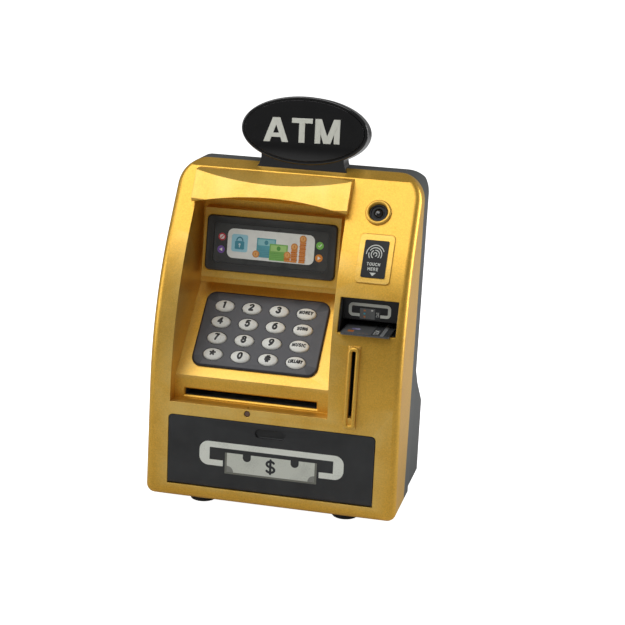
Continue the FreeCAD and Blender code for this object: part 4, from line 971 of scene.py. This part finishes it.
@dataclass
class RightColumn:
    """Coin slot bead, camera, touch label, card print and the frame printed over the card slot."""

    coin_u: float = 44.1
    coin_foot: float = 57.1        # foot, bend and top of the bead's path
    coin_bend: float = 66.5
    coin_top: float = 99.7
    bead_half: float = 1.15
    collar_r: float = 6.2
    collar_half_width: float = 1.05
    collar_half_height: float = 0.8
    collar_lift: float = 0.75

    def build(self, maker: Maker) -> None:
        """Make the column's pieces."""
        self.coin_bead(maker)
        self.lens_collar(maker)
        self.camera(maker)
        self.touch(maker)
        self.bracket(maker)
        self.card(maker)

    def coin_bead(self, maker: Maker) -> None:
        """Half-round bead over the coin slot's raised frame.

        The path is a rounded oblong; across it the bead is half an ellipse, out along
        the path's normal by a cos t and up by b sin t, for t over half a turn and closed below.
        """
        path = round_box(self.coin_u - 2.15, self.coin_u + 2.15, self.coin_foot, self.coin_top, 1.9, 10)
        ahead = np.roll(path, -1, axis=0) - np.roll(path, 1, axis=0)
        ahead /= np.linalg.norm(ahead, axis=1, keepdims=True)
        normal = np.column_stack([ahead[:, 1], -ahead[:, 0]])
        t = np.linspace(0, math.pi, 9)
        out = np.concatenate([self.bead_half * np.cos(t), [-self.bead_half, self.bead_half]])
        up = np.concatenate([1.0 + 0.95 * np.sin(t), [-0.3, -0.3]])
        proud = np.interp(path[:, 1], [self.coin_foot, self.coin_bend, self.coin_top], [1.75, 1.7, 0.55])
        points, edge = len(path), len(out)
        grid = np.empty((points, edge, 3))
        grid[:, :, :2] = path[:, None] + normal[:, None] * out[None, :, None]
        grid[:, :, 2] = proud[:, None] + up[None]
        index = np.arange(points * edge).reshape(points, edge)
        round_it, over = np.roll(index, -1, axis=0), np.roll(index, -1, axis=1)
        quads = np.stack([index, round_it, np.roll(round_it, -1, axis=1), over], -1).reshape(-1, 4)
        shape = Shape().add(grid.reshape(-1, 3), [tuple(q) for q in quads.tolist()])
        maker.piece("coin_bead", "case", shape, CurvedFront(), GOLD, 50)

    def lens_collar(self, maker: Maker) -> None:
        """Rolled ring round the camera's seat: a circle carried round the lens axis."""
        around, section = 72, 12
        t = np.linspace(0, 2 * math.pi, section, endpoint=False)
        a = np.linspace(0, 2 * math.pi, around, endpoint=False)
        reach = self.collar_r + self.collar_half_width * np.cos(t)
        height = self.collar_lift + self.collar_half_height * np.sin(t)
        x, y = np.outer(np.cos(a), reach), np.outer(np.sin(a), reach)
        grid = np.stack([x, y, np.tile(height, (around, 1))], -1)
        index = np.arange(around * section).reshape(around, section)
        on = np.roll(index, -1, axis=0)
        quads = np.stack([index, on, np.roll(on, -1, axis=1), np.roll(index, -1, axis=1)], -1).reshape(-1, 4)
        shape = Shape().add(grid.reshape(-1, 3), [tuple(q) for q in quads.tolist()])
        maker.piece("lens_collar", "case", shape, LENS_SEAT, GOLD, 60)

    def camera(self, maker: Maker) -> None:
        """Turned barrel with two steps, and a crowned lens in it."""
        barrel = np.array([[0.05, -8.8], [4.6, -8.8], [4.95, -8.4], [4.95, -0.5],
                           [4.7, -0.25], [4.3, -0.25], [4.05, -1.0], [3.3, -1.05],
                           [3.1, -0.75], [2.75, -0.75], [2.6, -1.3], [0.05, -1.3]])
        tube = Shape().add(*turned(barrel))
        maker.piece("camera_barrel", "case", tube, LENS_SEAT, LENS_BARREL, 30, ("camera_lens",))
        t = np.linspace(0, math.pi / 2, 10)
        crown = np.column_stack([2.45 * np.cos(t), -1.15 + 1.45 * np.sin(t)])
        dome = np.vstack([[[0.02, -1.28], [2.45, -1.28]], crown])
        dome[-1, 0] = 0.02
        glass = Shape().add(*turned(dome))
        maker.piece("camera_glass", "case", glass, LENS_SEAT, ACRYLIC_LENS, 40)

    def touch(self, maker: Maker) -> None:
        """Whorl of ridges, the word under it and an arrow, on the black label."""
        art = Shape()
        white, low, high = "D6D9D2", 1.32, 1.42
        cu, cv = 49.2, 148.9
        for i, (start, end) in enumerate(((-80, 190), (-42, 236), (-26, 214), (0, 180))):
            r = 0.85 + 1.22 * i
            arc = ellipse(cu, cv - 0.3, r * 1.08, r, 40, math.radians(start), math.radians(end))
            split = (11 + 9 * i) % 36
            for part in (arc[:split], arc[split + 3:]):
                if len(part) > 3:
                    art.add(*stroke(part, 0.23, low, high), white)
        Lettering("TOUCH", 1.3, 0.32, 7.2).write(art, cu - 0.2, 143.7, low, high, white)
        Lettering("HERE", 1.3, 0.32, 5.6).write(art, cu - 0.2, 141.3, low, high, white)
        art.add(*plate(np.array([[cu - 1.8, 139.5], [cu, 137.8], [cu + 1.8, 139.5]]), low, high), white)
        maker.piece("touch_print", "case", art, CurvedFront(), PRINT, 20)

    def bracket(self, maker: Maker) -> None:
        """Small white frame open at the foot, with a picture of a card in it."""
        art = Shape()
        u0, u1, v0, v1, bar = 37.0, 60.4, 114.4, 121.9, 1.7
        half = bar / 2
        corners = round_path(u0 + half, u1 - half, v0 + half, v1 - half, 1.5)
        path = np.vstack([[[u0 + 6.2, v0 + half]], corners, [[u1 - 6.4, v0 + half]]])
        art.add(*plate(ribbon(path, half), -0.05, 0.05), "D2D5CC")
        art.add(*plate(round_box(43.2, 54.6, 113.2, 119.1, 0.3), -0.05, 0.06), "6B6D6C")
        art.add(*plate(round_box(51.6, 54.6, 113.2, 119.1, 0.3), -0.05, 0.08), "2C2E2F")
        amber, blue, pale = "D9843C", "4FB3C4", "E6E7E2"
        for u, v, ink in ((45.9, 117.9, amber), (45.9, 114.4, amber),
                          (45.8, 116.2, blue), (50.0, 118.2, pale)):
            art.add(*plate(round_box(u - 0.55, u + 0.55, v - 0.4, v + 0.4, 0.15, 3), -0.05, 0.1), ink)
        Lettering("24", 2.4, 0.36, 1.6).write(art, 53.1, 116.1, -0.05, 0.12, "A9ABA8")
        maker.piece("bracket_print", "case", art, READER_PANEL, PRINT, 20)

    def card(self, maker: Maker) -> None:
        """Top of the bank card: paler field, chip, digits and a stripe."""
        art = Shape()
        art.add(*plate(round_box(36.5, 52.4, 0.8, 41.0, 1.4), -0.03, 0.02), "626466")
        art.add(*plate(round_box(57.4, 59.4, 0.8, 41.0, 0.3), -0.03, 0.03), "8B8D8E")
        art.add(*plate(round_box(38.9, 42.3, 4.4, 7.6, 0.5), -0.03, 0.04), "D2762E")
        for i in range(3):
            u = 39.0 + i * 1.15
            art.add(*plate(round_box(u, u + 0.15, 4.5, 7.5, 0.05, 3), -0.03, 0.05), "8E4A18")
        art.add(*plate(ellipse(41.8, 11.0, 1.5, 1.5, 24), -0.03, 0.04), "8C84B4")
        art.add(*plate(ellipse(43.6, 11.0, 1.5, 1.5, 24), -0.03, 0.05), "A9A3C6")
        for u, v in ((45.8, 3.2), (48.0, 3.2), (50.0, 3.2)):
            art.add(*plate(ellipse(u, v, 0.3, 0.3, 12), -0.03, 0.04), "C07A3C")
        digits = Lettering("1234", 2.4, 0.42, 8.6).write(Shape(), 0.0, 0.0, -0.03, 0.05, "D7D9D6")
        art.add(np.column_stack([54.6 - digits.verts[:, 1], 7.2 + digits.verts[:, 0], digits.verts[:, 2]]),
                digits.faces, "D7D9D6")
        maker.piece("card_print", "bank_card", art, CARD_TOP, PRINT, 20)


def round_path(u0: float, u1: float, v0: float, v1: float, r: float) -> Array:
    """Rounded path from the foot of the left side, over the top, to the foot of the right side.

    Each corner is its centre plus r (cos t, sin t) over a quarter turn, taken clockwise.

    Args:
        u0, u1, v0, v1: sides of the path.
        r: corner radius.
    Returns:
        The path's points.
    """
    t = np.linspace(0, math.pi / 2, 8)
    left, right, low, high = u0 + r, u1 - r, v0 + r, v1 - r
    parts = [(left, low, 1.5 * math.pi), (left, high, math.pi), (right, high, math.pi / 2), (right, low, 0.0)]
    return np.vstack([np.column_stack([cu + r * np.cos(a - t), cv + r * np.sin(a - t)])
                      for cu, cv, a in parts])


@dataclass(frozen=True)
class BackFace:
    """The back wall seen from behind: u runs to the viewer's right, v up, w outwards."""

    y: float

    def put(self, p: Array) -> Array:
        """(u, v, w) to (-u, y + w, v)."""
        return np.column_stack([-p[:, 0], self.y + p[:, 2], p[:, 1]])


@dataclass
class BackMarks:
    """Marks moulded on the battery cover: a cell sign on each side of the screw."""

    cells_u: tuple[float, ...] = (-30.0, 30.0)
    foot: float = 12.0

    def build(self, maker: Maker) -> None:
        """Raised signs standing 0.25 proud of the cover."""
        low, high, ink = -0.3, 0.25, "FFFFFF"
        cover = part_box("battery_cover")
        back = float(cover[1][1]) / MM + MIDDLE
        shape = Shape()
        for u in self.cells_u:
            Lettering("-", 3.0, 0.6).write(shape, u - 9.0, self.foot, low, high, ink)
            Lettering("+", 3.0, 0.6).write(shape, u + 9.0, self.foot, low, high, ink)
            body = round_box(u - 6.5, u + 6.5, self.foot - 1.8, self.foot + 1.8, 0.9)
            closed = np.vstack([body, body[:2]])
            shape.add(*stroke(closed, 0.3, low, high), ink)
        maker.piece("battery_signs", "battery_cover", shape, BackFace(back), CASE_BLACK, 30)


# ---------------------------------------------------------------- studio
@dataclass
class Studio:
    """Camera, soft lights and a pale floor."""

    position: tuple[float, float, float] = (201.0, -867.3, 336.5)
    azimuth: float = math.radians(12.35)
    elevation: float = math.radians(14.5)
    roll: float = math.radians(2.62)
    lens: float = 93.43
    surroundings: float = 0.17     # how bright the room is, as the object sees it
    bounce: str = "DCDCDC"         # tone of the table, as the object sees it
    floor_glow: float = 1.0

    def build(self, wardrobe: Wardrobe) -> None:
        """Set up everything that isn't the object."""
        self.camera()
        self.floor()
        self.world()
        self.softbox("overhead", (-0.35, -0.5, 1.12), (0.0, 0.05, 0.1), 1.2, 0.7, 7.0)
        self.softbox("left_front", (-1.2, -0.7, 0.5), (0.0, 0.0, 0.1), 0.8, 0.8, 4.6)
        self.softbox("right_rear", (1.1, 0.45, 0.45), (0.0, 0.0, 0.1), 0.5, 0.9, 9.0)
        bpy.context.scene.view_settings.view_transform = "Standard"
        LOG.info("studio is set")

    def camera(self) -> None:
        """Camera from its position, azimuth, elevation and roll."""
        az, el, ro = self.azimuth, self.elevation, self.roll
        ahead = np.array([-math.sin(az) * math.cos(el), math.cos(az) * math.cos(el), -math.sin(el)])
        right = np.array([math.cos(az), math.sin(az), 0.0])
        up = np.cross(right, ahead)
        across = math.cos(ro) * right + math.sin(ro) * up
        upward = math.cos(ro) * up - math.sin(ro) * right
        pose = np.eye(4)
        pose[:3, 0], pose[:3, 1], pose[:3, 2] = across, upward, -ahead
        pose[:3, 3] = np.array(self.position) * MM
        data = bpy.data.cameras.new("studio_camera")
        data.lens, data.sensor_width, data.clip_start = self.lens, 36.0, 0.01
        camera = bpy.data.objects.new("studio_camera", data)
        camera.matrix_world = Matrix(pose.tolist())
        bpy.context.scene.collection.objects.link(camera)
        bpy.context.scene.camera = camera

    def floor(self) -> None:
        """Pale plain floor."""
        data = bpy.data.meshes.new("floor")
        half = 6.0
        corners = [(-half, -half, 0), (half, -half, 0), (half, half, 0), (-half, half, 0)]
        data.from_pydata(corners, [], [(0, 1, 2, 3)])
        mat = bpy.data.materials.new("pale_floor")
        mat.use_nodes = True
        tree = mat.node_tree
        tree.nodes.clear()
        seen = add(tree, "LightPath").outputs["Is Camera Ray"]
        dim = add(tree, "BsdfDiffuse", {"Color": linear(self.bounce)})
        bright = add(tree, "BsdfDiffuse", {"Color": linear("F4F4F4")})
        glow = add(tree, "Emission", {"Color": linear("FFFFFF"), "Strength": self.floor_glow})
        lit = add(tree, "AddShader", {0: bright.outputs[0], 1: glow.outputs[0]})
        both = add(tree, "MixShader", {0: seen, 1: dim.outputs[0], 2: lit.outputs[0]})
        tree.links.new(both.outputs[0], add(tree, "OutputMaterial").inputs["Surface"])
        data.materials.append(mat)
        floor = bpy.data.objects.new("floor", data)
        bpy.context.scene.collection.objects.link(floor)

    def world(self) -> None:
        """Plain white surroundings."""
        world = bpy.data.worlds.new("studio")
        world.use_nodes = True
        tree = world.node_tree
        seen = add(tree, "LightPath").outputs["Is Camera Ray"]
        level = add(tree, "MapRange", {"Value": seen, "To Min": self.surroundings, "To Max": 1.05})
        tree.links.new(level.outputs["Result"], tree.nodes["Background"].inputs["Strength"])
        tree.nodes["Background"].inputs["Color"].default_value = linear("FFFFFF")
        bpy.context.scene.world = world

    def softbox(self, name: str, at: tuple, target: tuple, wide: float, tall: float, power: float) -> None:
        """Rectangular area light pointed at a place.

        Args:
            name: its name.
            at: where it stands, metres.
            target: what it points at, metres.
            wide, tall: its size, metres.
            power: watts.
        """
        data = bpy.data.lights.new(name, "AREA")
        data.shape, data.size, data.size_y, data.energy = "RECTANGLE", wide, tall, power
        lamp = bpy.data.objects.new(name, data)
        back = np.array(at) - np.array(target)
        back = back / np.linalg.norm(back)
        side = np.cross([0.0, 0.0, 1.0], back)
        side = side / np.linalg.norm(side) if np.linalg.norm(side) > 1e-6 else np.array([1.0, 0, 0])
        pose = np.eye(4)
        pose[:3, 0], pose[:3, 1], pose[:3, 2], pose[:3, 3] = side, np.cross(back, side), back, at
        lamp.matrix_world = Matrix(pose.tolist())
        bpy.context.scene.collection.objects.link(lamp)


# ---------------------------------------------------------------- everything together
NODE_FINISHES: tuple[tuple[Finish, tuple[str, ...]], ...] = (
    (GOLD, ("front_shell", "bay_panel")),
    (CASE_BLACK, ("rear_shell", "battery_cover", "battery_tray")),
    (SIGN_BLACK, ("sign_housing", "sign_face")),
    (SCREEN_FRAME, ("screen_bezel",)),
    (WINDOW, ("screen_window",)),
    (BEZEL, ("keypad_bezel",)),
    (MAT, ("keypad_mat",)),
    (BOARD, ("keypad_board", "main_board")),
    (LENS_BARREL, ("camera_lens",)),
    (LABEL, ("touch_label",)),
    (DOOR_BLACK, ("door", "card_reader")),
    (CARD, ("bank_card",)),
    (PLAIN_MOULDING, ("coin_chute", "note_guide", "switch_body", "power_switch")),
    (ACETAL, ("coin_lever", "press_roller", "roller_gear", "motor_pinion")),
    (STEEL, ("lever_pin", "drive_shaft", "motor_shaft", "hinge_pins", "latch_bolt", "cover_screw",
             "case_screws", "motor_bracket")),
    (TYRE, ("drive_tyres",)),
    (ZINC, ("motor", "solenoid")),
    (CONE, ("speaker",)),
    (LED_RESIN, ("status_led",)),
    (JACKET, ("batteries",)),
    (NICKEL, ("battery_contacts",)),
    (RUBBER, ("feet",)),
)


def main() -> None:
    """Load the frame, dress it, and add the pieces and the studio."""
    logging.basicConfig(level=logging.INFO, format="%(name)s: %(message)s")
    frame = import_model()
    wardrobe = Wardrobe()
    for finish, names in NODE_FINISHES:
        wardrobe.dress(frame["nodes"], list(names), finish)
    maker = Maker(wardrobe)
    for part in (RoofSign(), Keys(), ScreenPictures(), DoorPrint(), RightColumn(), BackMarks()):
        part.build(maker)
    Studio().build(wardrobe)


if __name__ == "__main__":
    main()
